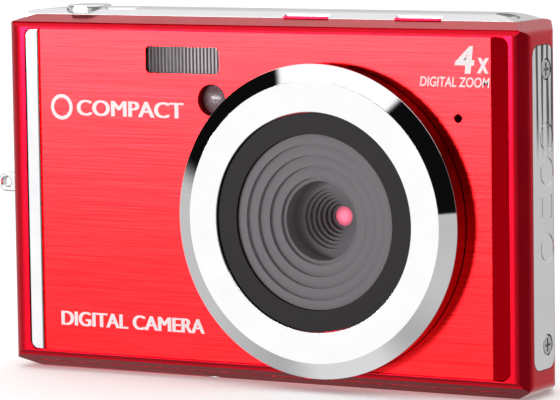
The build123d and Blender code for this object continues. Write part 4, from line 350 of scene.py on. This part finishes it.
def turned_chrome():
    """Chrome turned about the lens axis, with the lathe's fine rings left in it."""
    chrome = Finish("turned_chrome", Metallic=1.0)
    rings = chrome.from_axis(LENS, "XZ").ripples(0.13 * MM)
    haze = chrome.noise((5 * MM,) * 3, 3.0)
    chrome.feed(
        Base_Color=chrome.blend(haze, (0.84, 0.84, 0.86), (0.94, 0.94, 0.95)),
        Roughness=haze * 0.02 + rings * 0.01 + 0.005,
        Normal=chrome.relief(rings, 0.0002 * MM, chrome.softened(0.1 * MM)),
    )
    return chrome.material


def silver_lacquer(look):
    """Moulded plastic in silver lacquer with fine flakes."""
    silver = Finish("silver_lacquer", Metallic=0.75, Coat_Weight=0.4, Coat_Roughness=0.12)
    flakes = silver.grey(silver.cells(0.06 * MM))
    clouds = silver.noise((12 * MM,) * 3, 3.0)
    silver.feed(
        Base_Color=silver.blend(flakes, scaled(look.silver, 0.86), scaled(look.silver, 1.14)),
        Roughness=flakes * 0.1 + clouds * 0.1 + 0.24,
        Normal=silver.relief(flakes, 0.0008 * MM, silver.softened(0.15 * MM)),
    )
    return silver.material


def bright_screw():
    """Zinc plated steel with fine scratches and a few duller stains."""
    steel = Finish("bright_screw", Metallic=1.0)
    grain = steel.noise((0.5 * MM, 0.5 * MM, 0.03 * MM), 3.0, (0.7, 0.4, 0.1))
    stain = steel.noise((1.1 * MM,) * 3, 4.0)
    steel.feed(
        Base_Color=steel.blend(stain, (0.46, 0.45, 0.44), (0.78, 0.78, 0.79)),
        Roughness=grain * 0.16 + stain * 0.1 + 0.12,
        Normal=steel.relief(grain, 0.0015 * MM, steel.softened(0.08 * MM)),
    )
    return steel.material


def ring_black(look):
    """Moulded black ring with a fine concentric grain."""
    ring = Finish("ring_black", Specular_IOR_Level=0.22)
    grooves = ring.from_axis(LENS, "XZ").ripples(0.22 * MM)
    grain = ring.noise((0.09 * MM,) * 3, 2.0)
    tone = grain * 0.6 + grooves * 0.4
    ring.feed(
        Base_Color=ring.blend(tone, scaled(look.ring, 0.8), scaled(look.ring, 1.5)),
        Roughness=grain * 0.16 + 0.45,
        Normal=ring.relief(tone, 0.003 * MM, ring.softened(0.1 * MM)),
    )
    return ring.material


def baffle_grey(look):
    """Matt grey moulding whose treads carry very fine grooves, with painted shade that makes it darker deeper
    in the lens.
    """
    baffle = Finish("baffle_grey", Specular_IOR_Level=0.35)
    grooves = baffle.from_axis(LENS, "XZ").ripples(0.3 * MM)
    dust = baffle.noise((0.12 * MM,) * 3, 3.0)
    depth = baffle.part("Y").rise(*BAFFLE_SHADE_SPAN)
    tone = dust * 0.5 + grooves * 0.5
    surface = baffle.blend(tone, scaled(look.baffle, 0.85), scaled(look.baffle, 1.2))
    baffle.feed(
        # Painted shade: the baffle is coloured darker deeper in the lens.
        Base_Color=baffle.blend(depth * 0.2, surface, scaled(look.baffle, 0.4)),
        Roughness=dust * 0.2 + 0.5,
        Normal=baffle.relief(tone, 0.003 * MM),
    )
    return baffle.material


def coated_glass(look):
    """Lens glass in pink, brighter in the middle and darker towards its rim, with a painted glow: it gives
    off a little pink light of its own in its deep well, most in the middle.
    """
    glass = Finish("coated_glass", IOR=1.1, Transmission_Weight=0.1, Specular_IOR_Level=0.0)
    radius = glass.from_axis(LENS, "XZ") / COATING_RADIUS
    swirl = glass.noise((0.8 * MM,) * 3, 1.0)
    edge = (radius + swirl * 0.2).rise(0.35, 1.0)
    glass.feed(
        Base_Color=glass.blend(edge, look.coating, scaled(look.coating, 0.55)),
        Roughness=swirl * 0.03 + 0.02,
        # Painted glow: the glass gives off a little pink light of its own, most in the middle.
        Emission_Color=glass.blend(edge, look.coating, scaled(look.coating, 0.4)),
    )
    glass.shader.inputs["Emission Strength"].default_value = 0.8
    return glass.material


def clear_plastic():
    """Clear moulded acrylic with faint flow marks."""
    clear = Finish("clear_plastic", IOR=1.49, Transmission_Weight=1.0, Coat_Weight=0.3, Coat_Roughness=0.02)
    flow = clear.noise((4 * MM, 4 * MM, 1 * MM), 2.0)
    clear.feed(
        Base_Color=clear.blend(flow, (0.95, 0.95, 0.97), (1.0, 1.0, 1.0)),
        Roughness=flow * 0.03 + 0.005,
        Normal=clear.relief(flow, 0.002 * MM),
    )
    return clear.material


def ribbed_window():
    """Clear moulding with upright ribs, its colour carrying painted light and shade: a painted highlight and
    shade on each rib, stronger towards its right end, and painted shade over its left end.
    """
    window = Finish("ribbed_window", IOR=1.49, Transmission_Weight=0.35, Coat_Weight=0.5, Coat_Roughness=0.03)
    across = window.part("X") - centre("flash_window").x
    ribs = (across * (2 * pi / RIB_PITCH)).wave() * 1.4 + 0.5
    lit = across.rise(-1.5 * MM, 4 * MM)
    shaded = 1 - across.rise(-6.5 * MM, -2.5 * MM)
    grain = window.noise((0.2 * MM, 2 * MM, 1.5 * MM), 2.0)
    # Painted light and shade: a highlight and a shade on each rib, brighter towards the right end, and
    # painted shade over the left end.
    tone = ribs * (lit * 0.6 + 0.16) + grain * 0.2 + 0.12 - shaded * 0.3
    window.feed(
        Base_Color=window.blend(tone, (0.012, 0.006, 0.01), (0.72, 0.66, 0.70)),
        Roughness=grain * 0.1 + 0.05,
        Normal=window.relief(ribs, 0.05 * MM),
    )
    return window.material


def frosted_dome():
    """Smoky clear dome over the lamp, stippled inside."""
    dome = Finish("frosted_dome", IOR=1.4, Transmission_Weight=0.3, Coat_Weight=0.2, Coat_Roughness=0.1)
    stipple = dome.noise((0.35 * MM,) * 3, 2.0)
    clouds = dome.noise((1.4 * MM,) * 3, 2.0)
    dome.feed(
        Base_Color=dome.blend(stipple * 0.5 + clouds * 0.5, (0.08, 0.045, 0.055), (0.34, 0.25, 0.28)),
        Roughness=stipple * 0.2 + 0.15,
        Normal=dome.relief(stipple, 0.03 * MM),
    )
    return dome.material


def chrome_with_painted_reflections():
    """Chrome plate with long dark streaks in its upper part: painted reflections of the room."""
    chrome = Finish("chrome_with_painted_reflections", Metallic=1.0)
    streaks = chrome.noise((2 * MM, 0.9 * MM, 30 * MM), 2.0)
    upper = chrome.part("Z").rise(*STREAKS_RISE)
    inside = chrome.part("Y").rise(*STREAKS_EDGE)
    reflection_bands = (chrome.part("Y") * (2 * pi / (1.9 * MM)) + streaks * 6).wave()
    # Painted reflections: dark upright streaks, as the room would leave in polished chrome.
    dark = reflection_bands.rise(-0.5, 0.1) * upper * inside * 0.92
    haze = chrome.noise((6 * MM,) * 3, 3.0)
    plain = chrome.blend(haze, (0.80, 0.80, 0.82), (0.93, 0.93, 0.94))
    chrome.feed(
        Base_Color=chrome.blend(dark, plain, (0.04, 0.027, 0.024)),
        Roughness=haze * 0.05 + 0.03,
        Normal=chrome.relief(streaks, 0.001 * MM, chrome.softened(0.1 * MM)),
    )
    return chrome.material


def display_glass():
    """Black bordered window over a display that is off: the picture area is a little bluer."""
    glass = Finish("display_glass", Coat_Weight=1.0, Coat_Roughness=0.015, Specular_IOR_Level=0.5)
    middle = centre("display_window")
    sides = (glass.part("X") - middle.x).size().rise(PICTURE_HALF_WIDTH, PICTURE_HALF_WIDTH + PICTURE_EDGE)
    ends = (glass.part("Z") - middle.z).size().rise(PICTURE_HALF_HEIGHT, PICTURE_HALF_HEIGHT + PICTURE_EDGE)
    border = sides.most(ends)
    smear = glass.noise((14 * MM, 3 * MM, 9 * MM), 3.0, (0, 0.6, 0))
    glass.feed(
        Base_Color=glass.blend(border, (0.017, 0.02, 0.027), (0.003, 0.003, 0.0035)),
        Roughness=smear * 0.08 + 0.02 + (1 - border) * 0.1,
    )
    return glass.material


def bright_reflector():
    """Vacuum coated reflector with a slight ripple."""
    mirror = Finish("bright_reflector", Metallic=1.0)
    ripple = mirror.noise((0.8 * MM,) * 3, 2.0)
    mirror.feed(
        Base_Color=mirror.blend(ripple, (0.80, 0.79, 0.80), (0.95, 0.95, 0.95)),
        Roughness=ripple * 0.08 + 0.04,
        Normal=mirror.relief(ripple, 0.004 * MM),
    )
    return mirror.material


def solder_mask():
    """Green circuit board: woven glass under the mask, tracks, and rows of bright pads."""
    board = Finish("solder_mask", Coat_Weight=0.5, Coat_Roughness=0.1)
    weave = board.noise((0.3 * MM,) * 3, 1.0)
    brick = {"Color1": (0, 0, 0, 1), "Color2": (0.2, 0.2, 0.2, 1), "Mortar": (1, 1, 1, 1), "Scale": 1.0,
             "Mortar Size": 0.09, "Brick Width": 1.7, "Row Height": 0.6,
             "Vector": board.stretched((1.1 * MM,) * 3, (pi / 2, 0, 0))}
    tracks = board.grey(board.node("ShaderNodeTexBrick", {}, brick))
    spots = board.node("ShaderNodeTexVoronoi", {}, {"Vector": board.stretched((2.3 * MM,) * 3), "Scale": 1.0})
    pads = 1 - spots.rise(0.16, 0.2)
    green = board.blend(tracks * 0.7, (0.008, 0.11, 0.035), (0.03, 0.24, 0.08))
    board.feed(
        Base_Color=board.blend(pads, green, (0.78, 0.66, 0.36)),
        Metallic=pads * 0.9,
        Roughness=weave * 0.2 + 0.25,
        Normal=board.relief(tracks + weave * 0.3, 0.02 * MM),
    )
    return board.material


def stamped_steel():
    """Tinned sheet with rolling lines and handling marks."""
    steel = Finish("stamped_steel", Metallic=1.0)
    rolling = steel.noise((12 * MM, 12 * MM, 0.12 * MM), 3.0)
    marks = steel.noise((3 * MM,) * 3, 5.0)
    steel.feed(
        Base_Color=steel.blend(marks, (0.48, 0.48, 0.49), (0.70, 0.70, 0.70)),
        Roughness=rolling * 0.2 + marks * 0.15 + 0.15,
        Normal=steel.relief(rolling, 0.003 * MM, steel.softened(0.1 * MM)),
    )
    return steel.material


def dark_moulding():
    """Black plastic with a spark-eroded grain."""
    plastic = Finish("dark_moulding", Specular_IOR_Level=0.45)
    grain = plastic.noise((0.14 * MM,) * 3, 3.0)
    patches = plastic.noise((5 * MM,) * 3, 2.0)
    plastic.feed(
        Base_Color=plastic.blend(grain, (0.012, 0.012, 0.013), (0.035, 0.035, 0.037)),
        Roughness=patches * 0.2 + grain * 0.15 + 0.35,
        Normal=plastic.relief(grain, 0.01 * MM),
    )
    return plastic.material


def battery_sleeve():
    """Dark grey sleeve with a paler band round its middle."""
    sleeve = Finish("battery_sleeve", Coat_Weight=0.3, Coat_Roughness=0.3)
    band = (sleeve.part("Z") - centre("battery").z).size().rise(BATTERY_BAND, BATTERY_BAND + SLEEVE_EDGE)
    fibre = sleeve.noise((0.5 * MM, 0.5 * MM, 4 * MM), 3.0)
    shade = sleeve.blend(band, (0.30, 0.31, 0.33), (0.045, 0.046, 0.05))
    sleeve.feed(
        Base_Color=sleeve.blend(fibre * 0.25, shade, (0.02, 0.02, 0.02)),
        Roughness=fibre * 0.2 + 0.35,
        Normal=sleeve.relief(fibre, 0.004 * MM),
    )
    return sleeve.material


def capacitor_sleeve():
    """Shrunk dark sleeve with a pale stripe along it."""
    sleeve = Finish("capacitor_sleeve", Coat_Weight=0.6, Coat_Roughness=0.15)
    from_stripe = (sleeve.part("Z") - centre("flash_capacitor").z).size()
    stripe = from_stripe.rise(CAPACITOR_STRIPE, CAPACITOR_STRIPE + SLEEVE_EDGE)
    wrinkles = sleeve.noise((0.5 * MM, 3 * MM, 3 * MM), 3.0)
    sleeve.feed(
        Base_Color=sleeve.blend(stripe, (0.45, 0.45, 0.47), (0.012, 0.014, 0.025)),
        Roughness=wrinkles * 0.2 + 0.2,
        Normal=sleeve.relief(wrinkles, 0.02 * MM),
    )
    return sleeve.material


def turned_brass():
    """Brass turned on a lathe, a little tarnished."""
    brass = Finish("turned_brass", Metallic=1.0)
    rings = brass.from_axis(centre("tripod_socket"), "XY").ripples(0.12 * MM)
    tarnish = brass.noise((1.5 * MM,) * 3, 4.0)
    brass.feed(
        Base_Color=brass.blend(tarnish, (0.50, 0.36, 0.16), (0.80, 0.64, 0.36)),
        Roughness=tarnish * 0.2 + rings * 0.06 + 0.16,
        Normal=brass.relief(rings, 0.002 * MM, brass.softened(0.1 * MM)),
    )
    return brass.material


def printing_ink(name, colour):
    """Screen printed ink, slightly uneven and satin."""
    ink = Finish(name, Specular_IOR_Level=0.4)
    mesh = ink.noise((0.12 * MM,) * 3, 2.0)
    ink.feed(
        Base_Color=ink.blend(mesh, scaled(colour, 0.88), scaled(colour, 1.05)),
        Roughness=mesh * 0.2 + 0.35,
    )
    return ink.material


# ---------------------------------------------------------------- making and placing pieces
def deselect():
    bpy.ops.object.select_all(action="DESELECT")


def take(obj):
    """Makes obj the only selected and the active object."""
    deselect()
    obj.select_set(True)
    bpy.context.view_layer.objects.active = obj
    return obj


def apply_place(obj):
    take(obj)
    bpy.ops.object.transform_apply(location=True, rotation=True, scale=True)


def span(obj):
    """Lowest and highest corner of a mesh object that sits at the origin."""
    points = [v.co for v in obj.data.vertices]
    corners = [[pick(p[axis] for p in points) for axis in range(3)] for pick in (min, max)]
    return Vector(corners[0]), Vector(corners[1])


def tidy_mesh(obj):
    """Merges doubled points and turns every face outwards."""
    take(obj)
    bpy.ops.object.mode_set(mode="EDIT")
    bpy.ops.mesh.select_all(action="SELECT")
    bpy.ops.mesh.remove_doubles(threshold=1e-7)
    bpy.ops.mesh.normals_make_consistent(inside=False)
    bpy.ops.object.mode_set(mode="OBJECT")


def fit_into(obj, lowest, highest):
    """Stretches and moves obj so that its box runs from lowest to highest."""
    apply_place(obj)
    start, end = span(obj)
    size = end - start
    obj.scale = [(highest[i] - lowest[i]) / size[i] if size[i] > 0 else 1.0 for i in range(3)]
    apply_place(obj)
    obj.location = Vector(lowest) - span(obj)[0]
    apply_place(obj)
    return obj


FACING = {"front": (pi / 2, 0, 0), "rear": (pi / 2, 0, pi), "right": (pi / 2, 0, pi / 2)}


def lettering(name, words, lowest, highest, facing, weight=0.0, slant=0.0):
    """Raised print of words that fills the box from lowest to highest."""
    deselect()
    bpy.ops.object.text_add(location=(0, 0, 0), rotation=FACING[facing])
    text = bpy.context.object
    text.data.body = words
    text.data.extrude = 0.5
    text.data.offset = weight
    text.data.shear = slant
    text.data.resolution_u = 6
    bpy.ops.object.convert(target="MESH")
    text = bpy.context.object
    text.name = text.data.name = name
    fit_into(text, lowest, highest)
    tidy_mesh(text)
    return text


def finished(obj, body, material):
    """Gives a piece its finish and the body that it belongs to."""
    obj.data.materials.clear()
    obj.data.materials.append(material)
    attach(obj, body)
    return obj


def coat(nodes, material):
    """Gives CAD nodes their finish."""
    for name in nodes:
        slots = NODES[name].data.materials
        slots.clear()
        slots.append(material)


def nodes_of(*slots):
    return [part["node"] for part in RECORD["subparts"] if part["material_slot"] in slots]


def joined(name, pieces):
    """Joins pieces into one and names it."""
    deselect()
    for piece in pieces:
        piece.select_set(True)
    bpy.context.view_layer.objects.active = pieces[0]
    if len(pieces) > 1:
        bpy.ops.object.join()
    result = bpy.context.object
    result.name = result.data.name = name
    return result


def disc(radius, thickness, place, facing, sides=48, hole=0.0):
    """Flat disc or ring whose back stands at place, with its axis along the way it faces."""
    deselect()
    bpy.ops.mesh.primitive_circle_add(
        vertices=sides, radius=radius, fill_type="NGON", location=place, rotation=FACING[facing])
    obj = bpy.context.object
    bpy.ops.object.mode_set(mode="EDIT")
    if hole:
        bpy.ops.mesh.inset(thickness=radius - hole)
        bpy.ops.mesh.delete(type="FACE")
    bpy.ops.mesh.select_all(action="SELECT")
    outward = obj.matrix_world.to_3x3() @ Vector((0, 0, 1))
    bpy.ops.mesh.extrude_region_move(TRANSFORM_OT_translate={"value": outward * thickness})
    bpy.ops.object.mode_set(mode="OBJECT")
    apply_place(obj)
    tidy_mesh(obj)
    return obj


def bar(lowest, highest):
    """Straight printed bar."""
    deselect()
    bpy.ops.mesh.primitive_cube_add(size=1)
    return fit_into(bpy.context.object, lowest, highest)


# ---------------------------------------------------------------- operators
class CAMERA_OT_casing_finish(Operator):
    """Paint the shells and the battery door, and brush the face plate"""

    bl_idname = "camera.casing_finish"
    bl_label = "Casing finish"

    def execute(self, context):
        look = context.scene.casing_look
        coat(nodes_of("red_casing"), casing_paint(look))
        coat(nodes_of("red_plate"), brushed_plate(look))
        return {"FINISHED"}


class CAMERA_OT_bright_finish(Operator):
    """Chrome, silver plastic, screws and brass"""

    bl_idname = "camera.bright_finish"
    bl_label = "Bright parts"

    def execute(self, context):
        look = context.scene.casing_look
        coat(nodes_of("chrome"), chrome_plate())
        coat(["lens_bezel"], turned_chrome())
        coat(["side_plate_right"], chrome_with_painted_reflections())
        coat(nodes_of("silver_plastic", "keys"), silver_lacquer(look))
        coat(nodes_of("screws"), bright_screw())
        coat(nodes_of("socket_brass"), turned_brass())
        return {"FINISHED"}


class CAMERA_OT_optics_finish(Operator):
    """Lens ring, baffles, glass, flash and lamp"""

    bl_idname = "camera.optics_finish"
    bl_label = "Lens and flash"

    def execute(self, context):
        look = context.scene.lens_look
        coat(nodes_of("black_ring"), ring_black(look))
        coat(nodes_of("baffle_grey"), baffle_grey(look))
        coat(nodes_of("lens_glass"), coated_glass(look))
        coat(nodes_of("clear_window"), clear_plastic())
        coat(["flash_window"], ribbed_window())
        coat(["lamp_window"], frosted_dome())
        coat(nodes_of("display_glass"), display_glass())
        coat(nodes_of("reflector"), bright_reflector())
        return {"FINISHED"}


class CAMERA_OT_inner_finish(Operator):
    """Boards, sheet steel, dark mouldings, battery and capacitor"""

    bl_idname = "camera.inner_finish"
    bl_label = "Inner parts"

    def execute(self, context):
        coat(nodes_of("boards"), solder_mask())
        coat(nodes_of("sheet_steel"), stamped_steel())
        coat(nodes_of("dark_plastic"), dark_moulding())
        coat(nodes_of("battery_wrap"), battery_sleeve())
        coat(nodes_of("capacitor_can"), capacitor_sleeve())
        return {"FINISHED"}


class CAMERA_OT_face_print(Operator):
    """Print the words and the plain ring on the face plate"""

    bl_idname = "camera.face_print"
    bl_label = "Face print"

    def execute(self, context):
        look = context.scene.print_look
        ink = printing_ink("face_ink", look.ink)
        front, back = PLATE_FRONT - look.thickness, PLATE_FRONT + look.thickness

        def words(name, text, left, right, bottom, top, weight=0.0, slant=0.0, bold=0.0):
            """Words in a box in millimetres; bold lays a second copy that far to the right of the first."""
            copies = []
            spans = ((left, right - bold, front), (left + bold, right, front + look.thickness / 4))
            for start, end, face in spans if bold else spans[:1]:
                lowest = (start * MM, face, bottom * MM)
                highest = (end * MM, back, top * MM)
                copies.append(lettering(name, text, lowest, highest, "front", weight, slant))
            finished(joined(name, copies), "root", ink)

        words("print_upper", look.upper_words, left=-33.7, right=-13.3, bottom=42.5, top=45.05, bold=0.3)
        words("print_lower", look.lower_words, left=-37.5, right=-10.0, bottom=7.7, top=10.05, bold=0.3)
        words("print_zoom_number", look.zoom_number,
              left=35.6, right=39.0, bottom=50.9, top=55.2, weight=0.03, slant=0.1)
        words("print_zoom_times", "x", left=39.4, right=41.5, bottom=51.0, top=53.4, weight=0.03, slant=0.1)
        words("print_zoom_words", look.zoom_words,
              left=29.5, right=41.6, bottom=48.8, top=50.35, weight=0.015, slant=0.15)

        outer, inner = 2.1 * MM, 1.5 * MM
        place = (-36.6 * MM, back, 43.8 * MM)
        ring = disc(outer, 2 * look.thickness, place, "front", hole=inner)
        finished(joined("print_ring", [ring]), "root", ink)
        return {"FINISHED"}


class CAMERA_OT_key_symbols(Operator):
    """Print symbols on the rear keys and the zoom rocker"""

    bl_idname = "camera.key_symbols"
    bl_label = "Key symbols"

    def execute(self, context):
        look = context.scene.print_look
        ink = printing_ink("key_ink", look.key_ink)

        def at(key, rise, half_width, half_height):
            """Box on the face of a key, above its middle by rise, with all three in millimetres."""
            middle, face = centre(key), high(key).y
            z = middle.z + rise * MM
            lowest = (middle.x - half_width * MM, face - look.thickness, z - half_height * MM)
            highest = (middle.x + half_width * MM, face + look.thickness, z + half_height * MM)
            return lowest, highest

        def word(name, key, body, text, half_width, half_height):
            piece = lettering(name, text, *at(key, 0, half_width, half_height), "rear", weight=0.01)
            finished(piece, body, ink)

        def arrow(name, key, body, turn, size=0.75):
            """Triangle on the middle of a key, size millimetres from middle to tip."""
            place = (centre(key).x, high(key).y - look.thickness, centre(key).z)
            piece = disc(size * MM, 2 * look.thickness, place, "rear", sides=3)
            take(piece)
            bpy.ops.transform.rotate(value=radians(turn), orient_axis="Y", center_override=place)
            apply_place(piece)
            piece.name = name
            finished(piece, body, ink)

        word("symbol_menu", "menu_button", "menu_key", "MENU", 2.2, 0.62)
        word("symbol_ok", "ok_button", "ok_key", "OK", 1.5, 0.85)
        word("symbol_mode", "mode_button", "mode_key", "M", 0.8, 0.75)

        rocker, rear = centre("zoom_rocker"), high("rear_shell").y
        from_rocker, half = 10.0 * MM, 0.7 * MM
        for name, text, side in (("symbol_wide", "W", 1), ("symbol_tele", "T", -1)):
            x = rocker.x + side * from_rocker
            lowest = (x - half, rear - look.thickness, rocker.z - half)
            highest = (x + half, rear + look.thickness, rocker.z + half)
            finished(lettering(name, text, lowest, highest, "rear"), "root", ink)

        for way, turn in (("up", 0), ("down", 180), ("left", 90), ("right", -90)):
            arrow(f"symbol_{way}", f"nav_{way}", f"nav_{way}_key", turn)
        arrow("symbol_play", "play_button", "play_key", 90, size=0.95)

        lid = bar(*at("delete_button", 0.72, 0.8, 0.12))
        knob = bar(*at("delete_button", 0.92, 0.3, 0.1))
        bin_body = bar(*at("delete_button", -0.2, 0.6, 0.66))
        finished(joined("symbol_delete", [lid, knob, bin_body]), "delete_key", ink)
        return {"FINISHED"}


class CAMERA_OT_tripod_thread(Operator):
    """Cut the thread inside the tripod socket"""

    bl_idname = "camera.tripod_thread"
    bl_label = "Tripod thread"

    def execute(self, context):
        socket = centre("tripod_socket")
        pitch, outer, inner, turns = 1.27 * MM, 3.2 * MM, 2.62 * MM, 3
        start, steps = 0.5 * MM, 40
        deselect()
        bpy.ops.mesh.primitive_plane_add(size=1)
        thread = bpy.context.object
        thread.name = thread.data.name = "tripod_thread"
        bpy.ops.object.mode_set(mode="EDIT")
        mesh = bmesh.from_edit_mesh(thread.data)
        by_place = sorted(mesh.verts, key=lambda vertex: (vertex.co.x, vertex.co.y))
        corners = ((outer, 0.05), (outer, 0.95), (inner, 0.4), (inner, 0.6))
        for vertex, (radius, height) in zip(by_place, corners):
            vertex.co = (radius, 0, height * pitch)
        bmesh.update_edit_mesh(thread.data)
        bpy.ops.object.mode_set(mode="OBJECT")
        screw = thread.modifiers.new("thread", "SCREW")
        screw.screw_offset = pitch
        screw.iterations = turns
        screw.steps = screw.render_steps = steps
        screw.use_normal_calculate = True
        take(thread)
        bpy.ops.object.modifier_apply(modifier="thread")
        thread.location = (socket.x, socket.y, start)
        apply_place(thread)
        tidy_mesh(thread)
        bpy.ops.object.shade_smooth_by_angle(angle=radians(35))
        finished(thread, "root", turned_brass())
        return {"FINISHED"}


class CAMERA_OT_stage(Operator):
    """Floor, studio light and the view"""

    bl_idname = "camera.stage"
    bl_label = "Stage"

    def execute(self, context):
        look = context.scene.stage_look
        self.set_view(context)
        self.lay_floor(look)
        self.light_surroundings(context, look)
        self.hang_softbox(look)
        context.scene.view_settings.view_transform = "Standard"
        return {"FINISHED"}

    def set_view(self, context):
        """A long lens that looks from the right and a little from above, all but level."""
        turn, rise, roll = radians(29.541), radians(5.997), radians(-0.817)
        place = Vector((0.2937, -0.5193, 0.0917))
        back = Vector((sin(turn) * cos(rise), -cos(turn) * cos(rise), sin(rise)))
        right = Vector((cos(turn), sin(turn), 0))
        up = back.cross(right)
        level_right = right * cos(roll) + up * sin(roll)
        level_up = up * cos(roll) - right * sin(roll)
        deselect()
        bpy.ops.object.camera_add()
        camera = bpy.context.object
        camera.matrix_world = Matrix((
            (level_right.x, level_up.x, back.x, place.x),
            (level_right.y, level_up.y, back.y, place.y),
            (level_right.z, level_up.z, back.z, place.z),
            (0, 0, 0, 1)))
        camera.data.sensor_width = 36
        camera.data.lens = 238.6
        camera.data.clip_start = 0.01
        context.scene.camera = camera

    def lay_floor(self, look):
        """A pale card that lifts its own shadows a little and stays out of reflections."""
        deselect()
        bpy.ops.mesh.primitive_plane_add(size=6, location=(0, 0, 0))
        floor = bpy.context.object
        floor.name = floor.data.name = "floor"
        card = Finish("floor_card", Emission_Strength=0.25)
        mottle = card.noise((0.2,) * 3, 2.0)
        card.feed(
            Base_Color=card.blend(mottle, scaled(look.floor, 0.98), look.floor),
            Roughness=mottle * 0.1 + 0.7,
        )
        floor.data.materials.append(card.material)
        floor.visible_glossy = False

    def light_surroundings(self, context, look):
        """A studio by heading, 0 at the front and growing to the right, and by height, both in degrees."""
        world = bpy.data.worlds.new("studio")
        context.scene.world = world
        world.use_nodes = True
        world.node_tree.nodes.clear()
        studio = Graph(world.node_tree)
        way = studio.node("ShaderNodeTexCoord", {}, {}, "Generated")
        x, y, z = (studio.node("ShaderNodeSeparateXYZ", {}, {0: way}, axis) for axis in "XYZ")
        heading = way.maths("ARCTAN2", x, 0 - y) * (180 / pi)
        height = way.maths("ARCSINE", z) * (180 / pi)

        wall_foot, wall_top, wall_edge = -1.6, 32.3, 0.5
        overhead = height.rise(31.6, 33) * 1.15
        beside_wall = height.between(wall_foot, wall_top, wall_edge)
        walls = beside_wall * (0.62 - heading.between(20, 130, 12) * 0.4)
        near_table = heading.between(-52, -4, 11) * 0.5
        right_table = heading.between(30, 132, 14) * 0.38
        table = (1 - height.rise(-2.0, -1.2)) * (0.6 + near_table - right_table)
        behind = heading.size().rise(92, 110)
        deep = 1 - (1 - height.rise(-48, -24)) * (behind * 0.45 + 0.3)
        curtain = 1 - heading.between(-77, 26, 1.0) * beside_wall
        strength = ((overhead + walls + table * deep) * curtain + 0.004) * look.surroundings

        sight = studio.node("ShaderNodeLightPath", {}, {}, "Is Camera Ray")
        warm_white = (1.0, 0.99, 0.99, 1)
        around = studio.node("ShaderNodeBackground", {}, {"Color": warm_white, "Strength": strength})
        plain = studio.node("ShaderNodeBackground", {}, {"Color": (1, 1, 1, 1), "Strength": 1.0})
        mix = studio.node("ShaderNodeMixShader", {}, {0: sight, 1: around, 2: plain})
        output = world.node_tree.nodes.new("ShaderNodeOutputWorld")
        world.node_tree.links.new(mix.out, output.inputs["Surface"])

    def hang_softbox(self, look):
        """A wide, low light that the face plate mirrors."""
        turn, rise, distance = radians(-29), radians(4), 0.7
        target = Vector((0, 0, 0.05))
        deselect()
        place = Vector((sin(turn) * cos(rise), -cos(turn) * cos(rise), sin(rise))) * distance
        bpy.ops.object.light_add(type="AREA", location=place)
        light = bpy.context.object
        light.data.shape = "RECTANGLE"
        light.data.size, light.data.size_y = 0.36, 0.05
        light.data.energy = look.softbox
        light.rotation_euler = (target - place).to_track_quat("-Z", "Y").to_euler()


class CAMERA_PT_parts(Panel):
    """Finishes and parts of the camera"""

    bl_idname = "CAMERA_PT_parts"
    bl_label = "Compact Digital Camera"
    bl_space_type = "VIEW_3D"
    bl_region_type = "UI"
    bl_category = "Camera"

    def draw(self, context):
        for group in LOOKS:
            look = getattr(context.scene, group)
            box = self.layout.box()
            for name in look.__annotations__:
                box.prop(look, name)
        for operator in OPERATORS:
            self.layout.operator(operator.bl_idname)


LOOKS = {"casing_look": CasingLook, "print_look": PrintLook, "lens_look": LensLook, "stage_look": StageLook}
OPERATORS = (
    CAMERA_OT_stage,
    CAMERA_OT_casing_finish,
    CAMERA_OT_bright_finish,
    CAMERA_OT_optics_finish,
    CAMERA_OT_inner_finish,
    CAMERA_OT_face_print,
    CAMERA_OT_key_symbols,
    CAMERA_OT_tripod_thread,
)


def register():
    for cls in (*LOOKS.values(), *OPERATORS, CAMERA_PT_parts):
        bpy.utils.register_class(cls)
    for name, look in LOOKS.items():
        setattr(bpy.types.Scene, name, PointerProperty(type=look))


def unregister():
    for name in LOOKS:
        delattr(bpy.types.Scene, name)
    for cls in (CAMERA_PT_parts, *reversed(OPERATORS), *reversed(LOOKS.values())):
        bpy.utils.unregister_class(cls)


def main():
    register()
    bpy.ops.camera.stage()
    bpy.ops.camera.casing_finish()
    bpy.ops.camera.bright_finish()
    bpy.ops.camera.optics_finish()
    bpy.ops.camera.inner_finish()
    bpy.ops.camera.face_print()
    bpy.ops.camera.key_symbols()
    bpy.ops.camera.tripod_thread()


if __name__ == "__main__":
    main()
